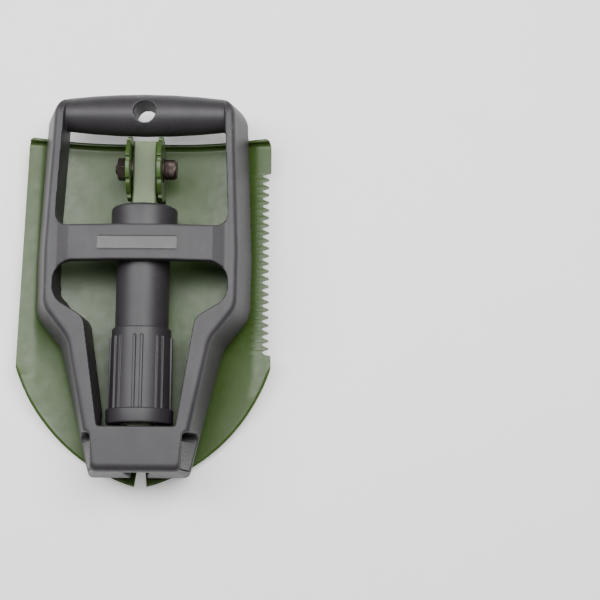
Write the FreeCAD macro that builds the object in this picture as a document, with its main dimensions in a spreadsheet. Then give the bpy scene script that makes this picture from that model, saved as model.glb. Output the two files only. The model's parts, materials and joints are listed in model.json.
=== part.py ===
"""Folding camp shovel: a pressed blade, a square stem with a sliding lock sleeve, and a D-handle.

It is modelled folded flat. X runs across the blade, Y along it with the blade's hinge at +Y and its
tip at -Y, and Z up from the ground that the back of the blade lies on. Lengths are in millimetres.
"""
import FreeCAD, Part
import math
import os
import Sketcher

Vector = FreeCAD.Vector
OUTPUT = "parts"
MARGIN = 4.0  # how far a blank or a cutter reaches past the metal

DIMENSIONS = [
    # alias, value, meaning
    ("shaft_height", 26.0, "axis of the bolt, stem, sleeve and handle pin above the ground"),
    ("bolt_place", 76.5, "place of the hinge bolt along the blade"),
    ("pin_place", -106.5, "place of the handle pin along the blade"),
    ("sheet_gauge", 2.0, "thickness of the blade's sheet steel"),
    ("floor_skim", 0.05, "metal dressed off the back of the pressing to leave it flat"),
    ("blade_saw_top", 80.2, "distance of the saw side from the middle at the blade's top"),
    ("blade_plain_top", 77.9, "distance of the plain side from the middle at the top"),
    ("blade_half_wide", 81.0, "half the blade's width where it is widest"),
    ("blade_top", 100.2, "top edge of the blade at its corners"),
    ("blade_top_sag", 1.0, "how far the middle of the top edge lies below its corners"),
    ("blade_corner", 5.0, "rounding of the blade's top corners"),
    ("blade_shoulder", -50.5, "where the straight sides end and the curved point begins"),
    ("blade_tip", -125.4, "tip of the blade"),
    ("floor_half", 20.0, "half the width of the blade's flat floor"),
    ("wing_start", 71.0, "where the blade's side wings begin"),
    ("dish_depth", 10.5, "height of the wings above the floor"),
    ("wing_rise", 0.12, "slope of the wings"),
    ("tip_lift", 11.0, "how far the tip curves up"),
    ("lift_start", -70.0, "where the floor begins to curve up towards the tip"),
    ("tread_height", 4.6, "height of the tread lip above the floor"),
    ("tread_bend", 2.6, "inside radius of the tread lip's bend"),
    ("tooth_first", 79.3, "upper end of the saw edge"),
    ("tooth_last", -42.0, "lower end of the saw edge"),
    ("tooth_count", 24.0, "number of gullets in the saw edge"),
    ("tooth_depth", 5.3, "depth of a gullet below the plain edge"),
    ("tooth_recess", 1.3, "how far the teeth's tips lie below the plain edge"),
    ("tooth_lean", 0.5, "how far the teeth's tips lean towards the blade's tip"),
    ("gullet_root", 1.1, "radius of a gullet's root"),
    ("gullet_mouth", 2.1, "half the width of a gullet at the plain edge"),
    ("slot_half", 2.9, "half the width of the nail slot at its inner end"),
    ("slot_flare", 4.0, "half the width of the nail slot at the tip"),
    ("slot_end", -106.0, "inner end of the nail slot"),
    ("slot_straight", 10.0, "length of the nail slot's parallel part"),
    ("ear_radius", 20.8, "radius of the hinge bracket's ears"),
    ("ear_gauge", 2.6, "thickness of the hinge bracket's plate"),
    ("ear_gap_half", 8.6, "half the gap between the ears"),
    ("base_front", 60.0, "end of the bracket's base nearest the tip"),
    ("base_back", 88.0, "end of the bracket's base nearest the tread"),
    ("notch_width", 3.0, "width of a lock notch in the ears"),
    ("notch_floor", 17.2, "distance of a notch's floor from the bolt axis"),
    ("notch_offset", 7.0, "distance of a notch's centre line from its lock direction"),
    ("lift_angle", 14.0, "angle of the extended stem above the blade"),
    ("bolt_radius", 4.0, "radius of the hinge bolt and the handle pin"),
    ("running_gap", 0.05, "radial clearance of a running fit"),
    ("head_radius", 6.5, "radius of the socket cap"),
    ("head_height", 8.0, "height of the socket cap"),
    ("washer_gauge", 0.8, "thickness of the bolt's washer"),
    ("washer_radius", 8.0, "radius of the bolt's washer and the spacers"),
    ("nut_flats", 13.0, "width of the nut across its flats"),
    ("nut_height", 6.5, "height of the nut"),
    ("bolt_end", 19.3, "threaded end of the bolt from the middle"),
    ("rivet_radius", 2.5, "radius of a bracket rivet"),
    ("rivet_spacing", 9.6, "distance between the bracket's rivets"),
    ("rivet_head", 3.9, "radius of a bracket rivet's head"),
    ("rivet_rise", 1.8, "height of a bracket rivet's head"),
    ("bar_size", 15.0, "width of the square stem"),
    ("bar_chamfer", 1.0, "chamfer on the stem's edges"),
    ("bar_end", 16.7, "length of the stem beyond the bolt axis"),
    ("tongue_half", 4.0, "half the thickness of the stem's flat tongue"),
    ("tongue_shoulder", 16.0, "distance of the tongue's shoulder from the handle pin"),
    ("collar_radius", 21.0, "radius of the sleeve's collar"),
    ("collar_face", 50.0, "end of the collar nearest the hinge"),
    ("collar_length", 16.0, "length of the collar"),
    ("collar_round", 2.2, "rounding of the collar's rim"),
    ("mouth_radius", 16.6, "radius of the collar's mouth"),
    ("mouth_depth", 8.0, "depth of the collar's mouth"),
    ("tube_radius", 16.8, "radius of the sleeve's tube"),
    ("tube_end", -42.0, "lower end of the sleeve's full-width tube"),
    ("screw_radius", 13.5, "radius of the sleeve's narrow screw part"),
    ("screw_end", -66.0, "lower end of the sleeve"),
    ("sleeve_bore", 10.4, "radius of the bore through the sleeve"),
    ("insert_gauge", 4.5, "thickness of the lock insert's disc"),
    ("prong_height", 2.2, "height of a lock prong"),
    ("prong_width", 2.4, "width of a lock prong"),
    ("grip_top", -27.9, "upper end of the twist grip"),
    ("grip_top_radius", 18.6, "radius of the twist grip at its upper end"),
    ("grip_low_radius", 19.0, "radius of the twist grip at its lower end"),
    ("grip_gap", 0.25, "clearance of the twist grip round the sleeve"),
    ("rib_top", -33.2, "upper end of the grip's ribs"),
    ("rib_radius", 19.9, "distance of the ribs' crests from the axis"),
    ("rib_width", 1.7, "width of a rib"),
    ("rib_spread", 6.6, "angle of a rib from the middle of its pair"),
    ("ring_top", -78.7, "upper end of the grip's end ring"),
    ("ring_low", -87.9, "lower end of the grip's end ring"),
    ("ring_radius", 21.2, "radius of the grip's end ring"),
    ("retainer_radius", 12.0, "radius of the washer staked on the stem"),
    ("retainer_gauge", 2.0, "thickness of the washer staked on the stem"),
    ("frame_back", 18.4, "back of the handle frame"),
    ("frame_front", 45.0, "front of the handle frame"),
    ("frame_top", 121.8, "top of the handle's limbs at the back"),
    ("frame_end", -120.3, "lower end of the handle at the back"),
    ("top_half", 64.6, "half the handle's width at its top, at the back"),
    ("hip_high", 20.0, "upper end of the handle's widest part"),
    ("hip_high_half", 68.6, "half the handle's width there"),
    ("hip_low", -19.0, "lower end of the handle's widest part"),
    ("hip_low_half", 68.2, "half the handle's width there"),
    ("waist", -39.5, "place of the handle's waist"),
    ("waist_half", 51.6, "half the handle's width at its waist"),
    ("end_half", 31.4, "half the handle's width at its lower end"),
    ("side_inset", 8.6, "how far the limbs' sides lean in towards the front"),
    ("front_round", 4.8, "rounding of the handle's front edge"),
    ("top_round", 15.5, "rounding of the handle's top corners, at the back"),
    ("top_round_front", 11.0, "rounding of the handle's top corners, at the front"),
    ("hip_round", 22.0, "rounding of the handle's hips, at the back"),
    ("hip_round_front", 17.0, "rounding of the handle's hips, at the front"),
    ("waist_round", 16.0, "rounding of the handle's waist, at the back"),
    ("waist_round_front", 20.0, "rounding of the handle's waist, at the front"),
    ("end_round", 4.0, "rounding of the block's corners, at the back"),
    ("end_round_front", 6.0, "rounding of the block's corners, at the front"),
    ("window_draft", 2.0, "draft angle of the hand opening's walls"),
    ("gape_draft", 3.5, "draft angle of the lower opening's walls"),
    ("collar_room", 0.5, "clearance of the crossbar's relief round the collar"),
    ("end_inset_side", 3.8, "how far the block's sides lean in towards the front"),
    ("end_inset", 2.8, "how far the block's end leans in towards the front"),
    ("window_half_top", 50.2, "half the hand opening's width at its top"),
    ("window_half_low", 54.6, "half the hand opening's width at the crossbar"),
    ("window_round", 9.0, "rounding of the hand opening's lower corners"),
    ("bar_high", 34.6, "upper edge of the crossbar"),
    ("bar_low", 12.0, "lower edge of the crossbar"),
    ("bar_crown", 1.3, "how far the crossbar's edges rise in the middle"),
    ("crown_round", 1200.0, "radius of the crossbar's edges in the middle"),
    ("bar_under", 43.3, "underside of the crossbar"),
    ("bar_face", 49.0, "face of the crossbar"),
    ("bar_flat_half", 44.2, "half the length of the crossbar's raised face"),
    ("bar_ramp_half", 52.8, "half the length of the crossbar with its ramps"),
    ("gape_half", 54.7, "half the lower opening's width at its top"),
    ("gape_round", 12.0, "rounding of the lower opening's upper corners"),
    ("gape_low", -10.5, "where the lower opening begins to narrow"),
    ("gape_low_round", 10.0, "rounding of the lower opening where it begins to narrow"),
    ("neck_half", 34.8, "half the lower opening's width at its neck"),
    ("neck_place", -22.5, "place of the lower opening's neck"),
    ("neck_round", 10.0, "rounding of the lower opening's neck"),
    ("throat_half", 24.4, "half the lower opening's width at the block"),
    ("throat_place", -90.4, "lower end of the lower opening at the front"),
    ("throat_back", -93.2, "lower end of the lower opening behind the block's lip"),
    ("throat_relief", 8.0, "height of the room behind the block's lip for the end ring"),
    ("lip_under", 38.0, "underside of the block's front lip"),
    ("grip_place", 110.9, "place of the hand grip's axis"),
    ("grip_height", 31.0, "height of the hand grip's axis"),
    ("grip_radius", 13.6, "radius of the hand grip at its middle"),
    ("grip_end_radius", 10.6, "radius of the hand grip at its ends"),
    ("hole_radius", 7.0, "radius of the hang hole through the hand grip"),
    ("hole_place", 110.4, "place of the hang hole"),
    ("channel_half_back", 4.7, "half the tongue channel's width at the back"),
    ("channel_half_front", 8.4, "half the tongue channel's width at its roof"),
    ("well_floor", 20.5, "distance of a tab well's floor from the middle"),
    ("well_high", -93.4, "upper end of a tab well"),
    ("well_low", -116.2, "lower end of a tab well"),
    ("well_back", 21.5, "back wall of a tab well"),
    ("well_front", 42.4, "front wall of a tab well"),
    ("notch_reach", 27.0, "distance from the middle of the notch that opens a well to the front"),
    ("tab_high", -98.8, "upper end of a release tab"),
    ("tab_gap", 0.4, "clearance of a release tab in its well"),
    ("tab_inner", 25.0, "distance of a tab's inner face from the middle"),
    ("post_radius", 2.2, "radius of a tab's guide post"),
    ("post_rise", 9.6, "height of the guide posts above the handle pin"),
    ("post_tip", 9.6, "distance of a guide post's tip from the middle"),
    ("spring_radius", 3.6, "mean radius of a tab spring"),
    ("spring_wire", 0.8, "diameter of a tab spring's wire"),
    ("pin_half", 19.6, "half the length of the handle pin"),
    ("label_half", 25.0, "half the length of the label plate's recess"),
    ("label_height", 8.2, "height of the label plate's recess"),
    ("label_middle", -2.0, "middle of the label plate across the crossbar"),
    ("label_place", 23.6, "middle of the label plate along the handle"),
    ("label_depth", 0.6, "depth of the label plate's recess"),
]

doc = FreeCAD.newDocument("camp_shovel")
sheet = doc.addObject("Spreadsheet::Sheet", "dims")


class Dim:
    """A length, ratio or angle that knows both its value and the expression that gives it."""

    def __init__(self, text, value):
        self.text = text
        self.value = value

    def join(self, sign, other, value):
        return Dim(f"({self.text} {sign} {as_dim(other).text})", value)

    def __add__(self, other):
        return self.join("+", other, self.value + as_dim(other).value)

    def __sub__(self, other):
        return self.join("-", other, self.value - as_dim(other).value)

    def __mul__(self, other):
        return self.join("*", other, self.value * as_dim(other).value)

    def __truediv__(self, other):
        return self.join("/", other, self.value / as_dim(other).value)

    def __neg__(self):
        return Dim(f"(0 - {self.text})", -self.value)

    def __radd__(self, other):
        return as_dim(other) + self

    def __rsub__(self, other):
        return as_dim(other) - self

    def __rmul__(self, other):
        return as_dim(other) * self


def as_dim(number):
    """The number as a Dim, if it isn't one already."""
    return number if isinstance(number, Dim) else Dim(repr(float(number)), float(number))


def fill_sheet():
    """Writes the driving dimensions to the sheet and returns them as Dims, by alias."""
    found = {}
    for row, (alias, value, meaning) in enumerate(DIMENSIONS, start=1):
        sheet.set(f"A{row}", meaning)
        sheet.set(f"B{row}", repr(value))
        sheet.setAlias(f"B{row}", alias)
        found[alias] = Dim(f"dims.{alias}", value)
    doc.recompute()
    return found


d = fill_sheet()
PARTS = []


# ---------------------------------------------------------------- modelling helpers


def bind(item, path, dim):
    """Binds a property of a document object to a dimension of the sheet."""
    item.setExpression(path, as_dim(dim).text)


def at(item, across=0.0, along=0.0, up=0.0):
    """Binds the object's place."""
    bind(item, "Placement.Base.x", across)
    bind(item, "Placement.Base.y", along)
    bind(item, "Placement.Base.z", up)
    return item


def new_body(label):
    """A body for one sub-part."""
    body = doc.addObject("PartDesign::Body", label)
    body.Label = label
    PARTS.append(body)
    return body


def new_sketch(body, role, offset=None):
    """A sketch on one of the body's own origin planes, moved along the plane's normal by offset."""
    sketch = body.newObject("Sketcher::SketchObject", f"{body.Label}_sketch")
    plane = next(f for f in body.Origin.OriginFeatures if f.Role == role)
    sketch.AttachmentSupport = [(plane, "")]
    sketch.MapMode = "FlatFace"
    if offset is not None:
        bind(sketch, "AttachmentOffset.Base.z", offset)
    return sketch


def pin_point(sketch, line, end, across, up):
    """Holds one end of a line, or a circle's centre, at a place given by two dimensions."""
    for kind, axis, dim in (("DistanceX", -2, as_dim(across)), ("DistanceY", -1, as_dim(up))):
        if dim.value == 0.0:
            sketch.addConstraint(Sketcher.Constraint("PointOnObject", line, end, axis))
            continue
        number = sketch.addConstraint(Sketcher.Constraint(kind, -1, 1, line, end, dim.value))
        bind(sketch, f"Constraints[{number}]", dim)


def polygon(sketch, corners):
    """A closed polygon whose corners are bound to the sheet. A corner's third value rounds it."""
    first = sketch.GeometryCount
    places = [Vector(as_dim(c[0]).value, as_dim(c[1]).value, 0) for c in corners]
    count = len(corners)
    for i in range(count):
        sketch.addGeometry(Part.LineSegment(places[i], places[(i + 1) % count]))
    for i in range(count):
        following = first + (i + 1) % count
        sketch.addConstraint(Sketcher.Constraint("Coincident", first + i, 2, following, 1))
    for i, corner in enumerate(corners):
        pin_point(sketch, first + i, 1, corner[0], corner[1])
    for i, corner in enumerate(corners):
        if len(corner) > 2:
            before, after = places[i - 1], places[(i + 1) % count]
            round_corner(sketch, first + (i - 1) % count, first + i, before, places[i], after, corner[2])
    return sketch


def round_corner(sketch, line_in, line_out, before, corner, after, radius):
    """Rounds the corner between two lines of a sketch, and binds the radius."""
    near_in = corner + (before - corner) * 0.2
    near_out = corner + (after - corner) * 0.2
    arc = sketch.GeometryCount
    size = as_dim(radius).value
    sketch.fillet(line_in, line_out, near_in, near_out, size, True, True)
    number = sketch.addConstraint(Sketcher.Constraint("Radius", arc, size))
    bind(sketch, f"Constraints[{number}]", radius)


def rectangle(sketch, left, right, low, high):
    """A closed rectangle."""
    return polygon(sketch, [(left, low), (right, low), (right, high), (left, high)])


def circle(sketch, x, y, radius):
    """A circle whose centre and radius are bound to the sheet."""
    centre = Vector(as_dim(x).value, as_dim(y).value, 0)
    number = sketch.addGeometry(Part.Circle(centre, Vector(0, 0, 1), as_dim(radius).value))
    pin_point(sketch, number, 3, x, y)
    size = sketch.addConstraint(Sketcher.Constraint("Radius", number, as_dim(radius).value))
    bind(sketch, f"Constraints[{size}]", radius)
    return sketch


def settle(body, feature):
    """Makes the feature the body's tip, and checks that it changed the solid."""
    before = body.Shape.Volume if not body.Shape.isNull() else 0.0
    body.Tip = feature
    doc.recompute()
    assert feature.isValid(), f"{body.Label}: {feature.Name} failed"
    change = body.Shape.Volume - before
    assert abs(change) > 0.01, f"{body.Label}: {feature.Name} changed nothing"
    return change


def pad(body, sketch, length, symmetric=False, backwards=False):
    """Adds the sketch's area, extruded."""
    feature = body.newObject("PartDesign::Pad", f"{body.Label}_pad")
    feature.Profile = sketch
    feature.SideType = "Symmetric" if symmetric else "One side"
    feature.Reversed = backwards
    bind(feature, "Length", length)
    assert settle(body, feature) > 0
    return feature


def pocket(body, sketch, depth=None, symmetric=False, backwards=False, draft=None):
    """Cuts the sketch's area, right through if no depth is given. A draft narrows it inwards."""
    feature = body.newObject("PartDesign::Pocket", f"{body.Label}_pocket")
    feature.Profile = sketch
    feature.SideType = "Symmetric" if symmetric else "One side"
    feature.Reversed = backwards
    if depth is None:
        feature.Type = "ThroughAll"
    else:
        bind(feature, "Length", depth)
    if draft is not None:
        bind(feature, "TaperAngle", -draft)
    assert settle(body, feature) < 0
    return feature


def revolve(body, sketch, axis="V_Axis"):
    """Adds the sketch's area, turned about one of the sketch's own axes."""
    feature = body.newObject("PartDesign::Revolution", f"{body.Label}_revolution")
    feature.Profile = sketch
    feature.ReferenceAxis = (sketch, [axis])
    feature.Angle = 360
    assert settle(body, feature) > 0
    return feature


def edges(body, wanted):
    """The names of the body's edges that pass the test."""
    return [f"Edge{i}" for i, e in enumerate(body.Shape.Edges, start=1) if wanted(e)]


def soften(body, kind, size, wanted):
    """Rounds ("Fillet") or bevels ("Chamfer") the body's edges that pass the test."""
    names = edges(body, wanted)
    assert names, f"{body.Label}: no edge to soften"
    base = body.Tip
    feature = body.newObject(f"PartDesign::{kind}", f"{body.Label}_{kind.lower()}")
    feature.Base = (base, names)
    bind(feature, "Radius" if kind == "Fillet" else "Size", size)
    settle(body, feature)
    return feature


def is_circle(edge, radius, level=None, axis=1):
    """Whether the edge is a circle of that radius, on that level along an axis (0 X, 1 Y, 2 Z)."""
    curve = edge.Curve
    if curve.TypeId != "Part::GeomCircle" or abs(curve.Radius - as_dim(radius).value) > 1e-4:
        return False
    return level is None or abs(curve.Center[axis] - as_dim(level).value) < 1e-4


def primitive(kind, name, **sizes):
    """A Part primitive with its sizes bound to the sheet."""
    item = doc.addObject(f"Part::{kind}", name)
    for path, dim in sizes.items():
        bind(item, path, dim)
    return item


def cylinder(name, radius, length, direction="X"):
    """A cylinder along a row axis."""
    item = primitive("Cylinder", name, Radius=radius, Height=length)
    turns = {"X": (Vector(0, 1, 0), 90), "Y": (Vector(1, 0, 0), -90), "Z": (Vector(0, 0, 1), 0)}
    item.Placement.Rotation = FreeCAD.Rotation(*turns[direction])
    return item


def cut(name, base, tool):
    """The base without the tool."""
    item = doc.addObject("Part::Cut", name)
    item.Base = base
    item.Tool = tool
    return item


def sub_part(item, label):
    """Marks a finished object as a sub-part."""
    item.Label = label
    PARTS.append(item)
    return item


# ---------------------------------------------------------------- the blade and what is fixed to it


def floor_height(x):
    """Height of the blade's underside above the ground, x across from the middle."""
    flat, wing = d["floor_half"].value, d["wing_start"].value
    depth = d["dish_depth"].value
    if abs(x) >= wing:
        return depth + (abs(x) - wing) * d["wing_rise"].value
    share = max(0.0, (abs(x) - flat) / (wing - flat))
    return depth * share ** 2


def blade_section(x):
    """A lengthwise section of the pressed sheet: the curved-up tip, the floor and the tread lip.

    Its back is drawn a skim low, so that dressing it at the ground leaves a true flat.
    """
    gauge, bend, skim = d["sheet_gauge"].value, d["tread_bend"].value, d["floor_skim"].value
    ground = floor_height(x)
    share = x / d["blade_half_wide"].value
    top = d["blade_top"].value - d["blade_top_sag"].value * max(0.0, 1 - share * share)
    start, lift = d["lift_start"].value, d["tip_lift"].value
    tip = d["blade_tip"].value - MARGIN
    middle = (start + tip) / 2
    back, inner = ground - skim, ground + gauge
    lip = inner + d["tread_height"].value
    bend_start, bend_top = top - gauge - bend, inner + bend

    def point(y, z):
        return Vector(x, y, z)

    def curve(height, forwards):
        ends = [point(tip, height + lift), point(middle, height + lift / 4), point(start, height)]
        return Part.Arc(*(ends if forwards else reversed(ends))).toShape()

    def bend_arc(radius, forwards):
        slant = radius * math.sqrt(0.5)
        ends = [
            point(bend_start, bend_top - radius),
            point(bend_start + slant, bend_top - slant),
            point(bend_start + radius, bend_top),
        ]
        return Part.Arc(*(ends if forwards else reversed(ends))).toShape()

    def line(y1, z1, y2, z2):
        return Part.makeLine(point(y1, z1), point(y2, z2))

    return Part.Wire([
        curve(back, True),
        line(start, back, bend_start, back),
        bend_arc(bend + gauge + skim, True),
        line(top + skim, bend_top, top + skim, lip),
        line(top + skim, lip, top - gauge, lip),
        line(top - gauge, lip, top - gauge, bend_top),
        bend_arc(bend, False),
        line(bend_start, inner, start, inner),
        curve(inner, False),
        line(tip, inner + lift, tip, back + lift),
    ])


def blade_side(side, half_top):
    """One side of the blade's outline: a round top corner, a straight side, an arc to the tip."""
    half, corner = d["blade_half_wide"].value, d["blade_corner"].value
    shoulder, tip = d["blade_shoulder"].value, d["blade_tip"].value
    high = d["blade_top"].value + d["floor_skim"].value * 2

    def place(x, y):
        return Vector(x * side, y, 0)

    slant = corner * (1 - math.sqrt(0.5))
    # The lower arc's middle point bulges outside the chord between its ends.
    belly = place(half * 0.628, tip + (shoulder - tip) * 0.363)
    round_start, round_end = place(half_top - corner, high), place(half_top, high - corner)
    return [
        Part.Arc(round_start, place(half_top - slant, high - slant), round_end).toShape(),
        Part.makeLine(round_end, place(half, shoulder)),
        Part.Arc(place(half, shoulder), belly, place(d["slot_flare"].value, tip)).toShape(),
    ]


def blade_outline():
    """The blade's outline in plan, as a face."""
    saw = blade_side(1, d["blade_saw_top"].value)
    plain = blade_side(-1, d["blade_plain_top"].value)
    ends = [(saw[0].Vertexes[0], plain[0].Vertexes[0]), (saw[2].Vertexes[1], plain[2].Vertexes[1])]
    across = [Part.makeLine(a.Point, b.Point) for a, b in ends]
    return Part.Face(Part.Wire(Part.__sortEdges__(saw + plain + across)))


def upright(face, low=-5.0, high=45.0):
    """The face extruded upwards from low to high."""
    moved = face.copy()
    moved.translate(Vector(0, 0, low))
    return moved.extrude(Vector(0, 0, high - low))


def plan_face(places):
    """A flat face with straight sides, from places in plan."""
    corners = [Vector(x, y, 0) for x, y in places]
    return Part.Face(Part.makePolygon(corners + corners[:1]))


def saw_side(level):
    """Distance of the saw side's plain edge from the middle, at a place along the blade."""
    top, shoulder = d["blade_top"].value, d["blade_shoulder"].value
    run = (top - level) / (top - shoulder)
    return d["blade_saw_top"].value * (1 - run) + d["blade_half_wide"].value * run


def gullet(level):
    """The cutter for one gullet of the saw edge: a round root that flares to the edge."""
    edge, radius = saw_side(level), d["gullet_root"].value
    root = edge - d["tooth_depth"].value + radius
    flare = (d["gullet_mouth"].value - radius) / (edge - root)
    lean = d["tooth_lean"].value / (edge - root)
    reach = edge + MARGIN - root
    low, high = level - (lean + flare) * reach, level - (lean - flare) * reach
    mouth = plan_face([(root, level - radius), (edge + MARGIN, low - radius),
                       (edge + MARGIN, high + radius), (root, level + radius)])
    return upright(mouth).fuse(upright_disc(root, level, radius))


def upright_disc(x, y, radius):
    """An upright cylinder that reaches past the blade both ways."""
    return Part.makeCylinder(radius, 50, Vector(x, y, -5))


def make_blade():
    """The pressed sheet, trimmed to its outline, with the saw edge, nail slot and rivet holes."""
    step = 6.0
    count = math.ceil((d["blade_half_wide"].value + MARGIN) / step)
    sections = [blade_section(i * step) for i in range(-count, count + 1)]
    pressed = Part.makeLoft(sections, True, False)
    blade = pressed.common(upright(blade_outline(), low=0.0))
    first, last = d["tooth_first"].value, d["tooth_last"].value
    teeth = int(d["tooth_count"].value)
    pitch = (first - last) / teeth
    cutters = [gullet(first - pitch * (i + 0.5)) for i in range(teeth)]
    recess = d["tooth_recess"].value
    cutters.append(upright(plan_face([
        (saw_side(first) - recess, first), (saw_side(first) + MARGIN, first),
        (saw_side(last) + MARGIN, last), (saw_side(last) - recess, last)])))
    inner, outer = d["slot_half"].value, d["slot_flare"].value
    end, tip = d["slot_end"].value, d["blade_tip"].value
    flare_start = end - d["slot_straight"].value
    slot = [(-inner, end), (inner, end), (inner, flare_start), (outer, tip), (outer, tip - MARGIN),
            (-outer, tip - MARGIN), (-outer, tip), (-inner, flare_start)]
    cutters.append(upright(plan_face(slot)))
    cutters.append(upright_disc(0, end, inner))
    cutters += [upright_disc(0, place, d["rivet_radius"].value) for place in RIVET_PLACES]
    blade = blade.cut(cutters)
    item = doc.addObject("Part::Feature", "blade")
    item.Shape = blade.Solids[0] if len(blade.Solids) == 1 else blade
    return sub_part(item, "blade")


RIVET_MIDDLE = (d["base_front"].value + d["base_back"].value) / 2
RIVET_PLACES = [RIVET_MIDDLE + i * d["rivet_spacing"].value for i in (-1, 0, 1)]
LOCK_DIRECTIONS = [180.0, 90.0 + d["lift_angle"].value, d["lift_angle"].value]


def make_bracket():
    """The U-shaped hinge bracket: a riveted floor and two notched ears."""
    body = new_body("hinge_bracket")
    at(body, 0, d["bolt_place"], d["shaft_height"])
    drop = d["shaft_height"] - d["sheet_gauge"]
    front, back = d["base_front"] - d["bolt_place"], d["base_back"] - d["bolt_place"]
    outer = d["ear_gap_half"] + d["ear_gauge"]
    legs = rectangle(new_sketch(body, "YZ_Plane"), front, back, -drop, 0)
    pad(body, legs, outer * 2, symmetric=True)
    discs = circle(new_sketch(body, "YZ_Plane"), 0, 0, d["ear_radius"])
    pad(body, discs, outer * 2, symmetric=True)
    gap = new_sketch(body, "XZ_Plane")
    high = d["ear_radius"] + 5
    rectangle(gap, -d["ear_gap_half"], d["ear_gap_half"], d["ear_gauge"] - drop, high)
    pocket(body, gap, 80.0, symmetric=True)
    notches = new_sketch(body, "YZ_Plane")
    for direction in LOCK_DIRECTIONS:
        c, s = math.cos(math.radians(direction)), math.sin(math.radians(direction))
        for side in (-1, 1):
            near, far = d["notch_floor"], d["ear_radius"] + 4
            low = d["notch_offset"] * side - d["notch_width"] / 2
            wide = d["notch_offset"] * side + d["notch_width"] / 2
            corners = [(near, low), (far, low), (far, wide), (near, wide)]
            polygon(notches, [(a * c - b * s, a * s + b * c) for a, b in corners])
    pocket(body, notches, 80.0, symmetric=True)
    hole = circle(new_sketch(body, "YZ_Plane"), 0, 0, d["bolt_radius"])
    pocket(body, hole, 80.0, symmetric=True)
    rivets = new_sketch(body, "XY_Plane")
    for place in RIVET_PLACES:
        circle(rivets, 0, place - d["bolt_place"].value, d["rivet_radius"])
    pocket(body, rivets, 60.0, symmetric=True)
    return body


def make_rivets():
    """Three round-headed rivets that hold the bracket's floor to the blade."""
    rivets = []
    shank_length = d["sheet_gauge"] + d["ear_gauge"]
    for i, place in enumerate(RIVET_PLACES):
        shank = cylinder(f"rivet_shank_{i}", d["rivet_radius"], shank_length, "Z")
        at(shank, 0, place, 0)
        head = primitive("Cone", f"rivet_head_{i}", Radius1=d["rivet_head"],
                         Radius2=d["rivet_radius"], Height=d["rivet_rise"])
        at(head, 0, place, shank_length)
        rivet = doc.addObject("Part::MultiFuse", f"rivet_{i}")
        rivet.Shapes = [shank, head]
        rivets.append(rivet)
    group = doc.addObject("Part::Compound", "bracket_rivets")
    group.Links = rivets
    return sub_part(group, "bracket_rivets")


def make_bolt():
    """The socket cap screw that the stem turns on, with its head at +X."""
    body = new_body("pivot_bolt")
    at(body, 0, d["bolt_place"], d["shaft_height"])
    start = d["ear_gap_half"] + d["ear_gauge"] + d["washer_gauge"]
    profile = new_sketch(body, "XZ_Plane")
    tip_bevel = 0.8
    polygon(profile, [
        (-d["bolt_end"], 0), (start + d["head_height"], 0),
        (start + d["head_height"], d["head_radius"] - 0.6),
        (start + d["head_height"] - 0.6, d["head_radius"]),
        (start, d["head_radius"]), (start, d["bolt_radius"]),
        (tip_bevel - d["bolt_end"], d["bolt_radius"]),
        (-d["bolt_end"], d["bolt_radius"] - tip_bevel)])
    revolve(body, profile, "H_Axis")
    socket = new_sketch(body, "YZ_Plane", start + d["head_height"])
    key_radius = 6.0 / math.sqrt(3)
    polygon(socket, [(key_radius * math.cos(math.pi * i / 3), key_radius * math.sin(math.pi * i / 3))
                     for i in range(6)])
    pocket(body, socket, 4.0)
    return body


def make_nut():
    """The hex nut on the bolt's threaded end."""
    body = new_body("pivot_nut")
    at(body, -(d["ear_gap_half"] + d["ear_gauge"]), d["bolt_place"], d["shaft_height"])
    outline = new_sketch(body, "YZ_Plane")
    corner = d["nut_flats"] / math.sqrt(3)
    polygon(outline, [(corner * math.sin(math.pi * i / 3), corner * math.cos(math.pi * i / 3))
                      for i in range(6)])
    pad(body, outline, d["nut_height"], backwards=True)
    hole = circle(new_sketch(body, "YZ_Plane"), 0, 0, d["bolt_radius"])
    pocket(body, hole, d["nut_height"] * 3, symmetric=True)
    return body


def make_ring(label, inner, outer, length, across):
    """A plain ring round the bolt, from a place across the blade towards +X."""
    body = new_body(label)
    at(body, across, d["bolt_place"], d["shaft_height"])
    sketch = circle(new_sketch(body, "YZ_Plane"), 0, 0, outer)
    circle(sketch, 0, 0, inner)
    pad(body, sketch, length)
    return body


def make_spacers():
    """Two thin washers that centre the stem between the ears, as one group."""
    inner = d["bolt_radius"]
    reach = d["bar_size"] / 2 + d["running_gap"]
    length = d["ear_gap_half"] - reach
    axis = (d["bolt_place"], d["shaft_height"])
    pair = []
    for name, place in (("spacer_left", -d["ear_gap_half"]), ("spacer_right", reach)):
        disc = at(cylinder(f"{name}_disc", d["washer_radius"], length), place, *axis)
        hole = at(cylinder(f"{name}_hole", inner, length), place, *axis)
        pair.append(cut(name, disc, hole))
    group = doc.addObject("Part::Compound", "pivot_spacers")
    group.Links = pair
    return sub_part(group, "pivot_spacers")


# ---------------------------------------------------------------- the stem and what is fixed to it


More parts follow.
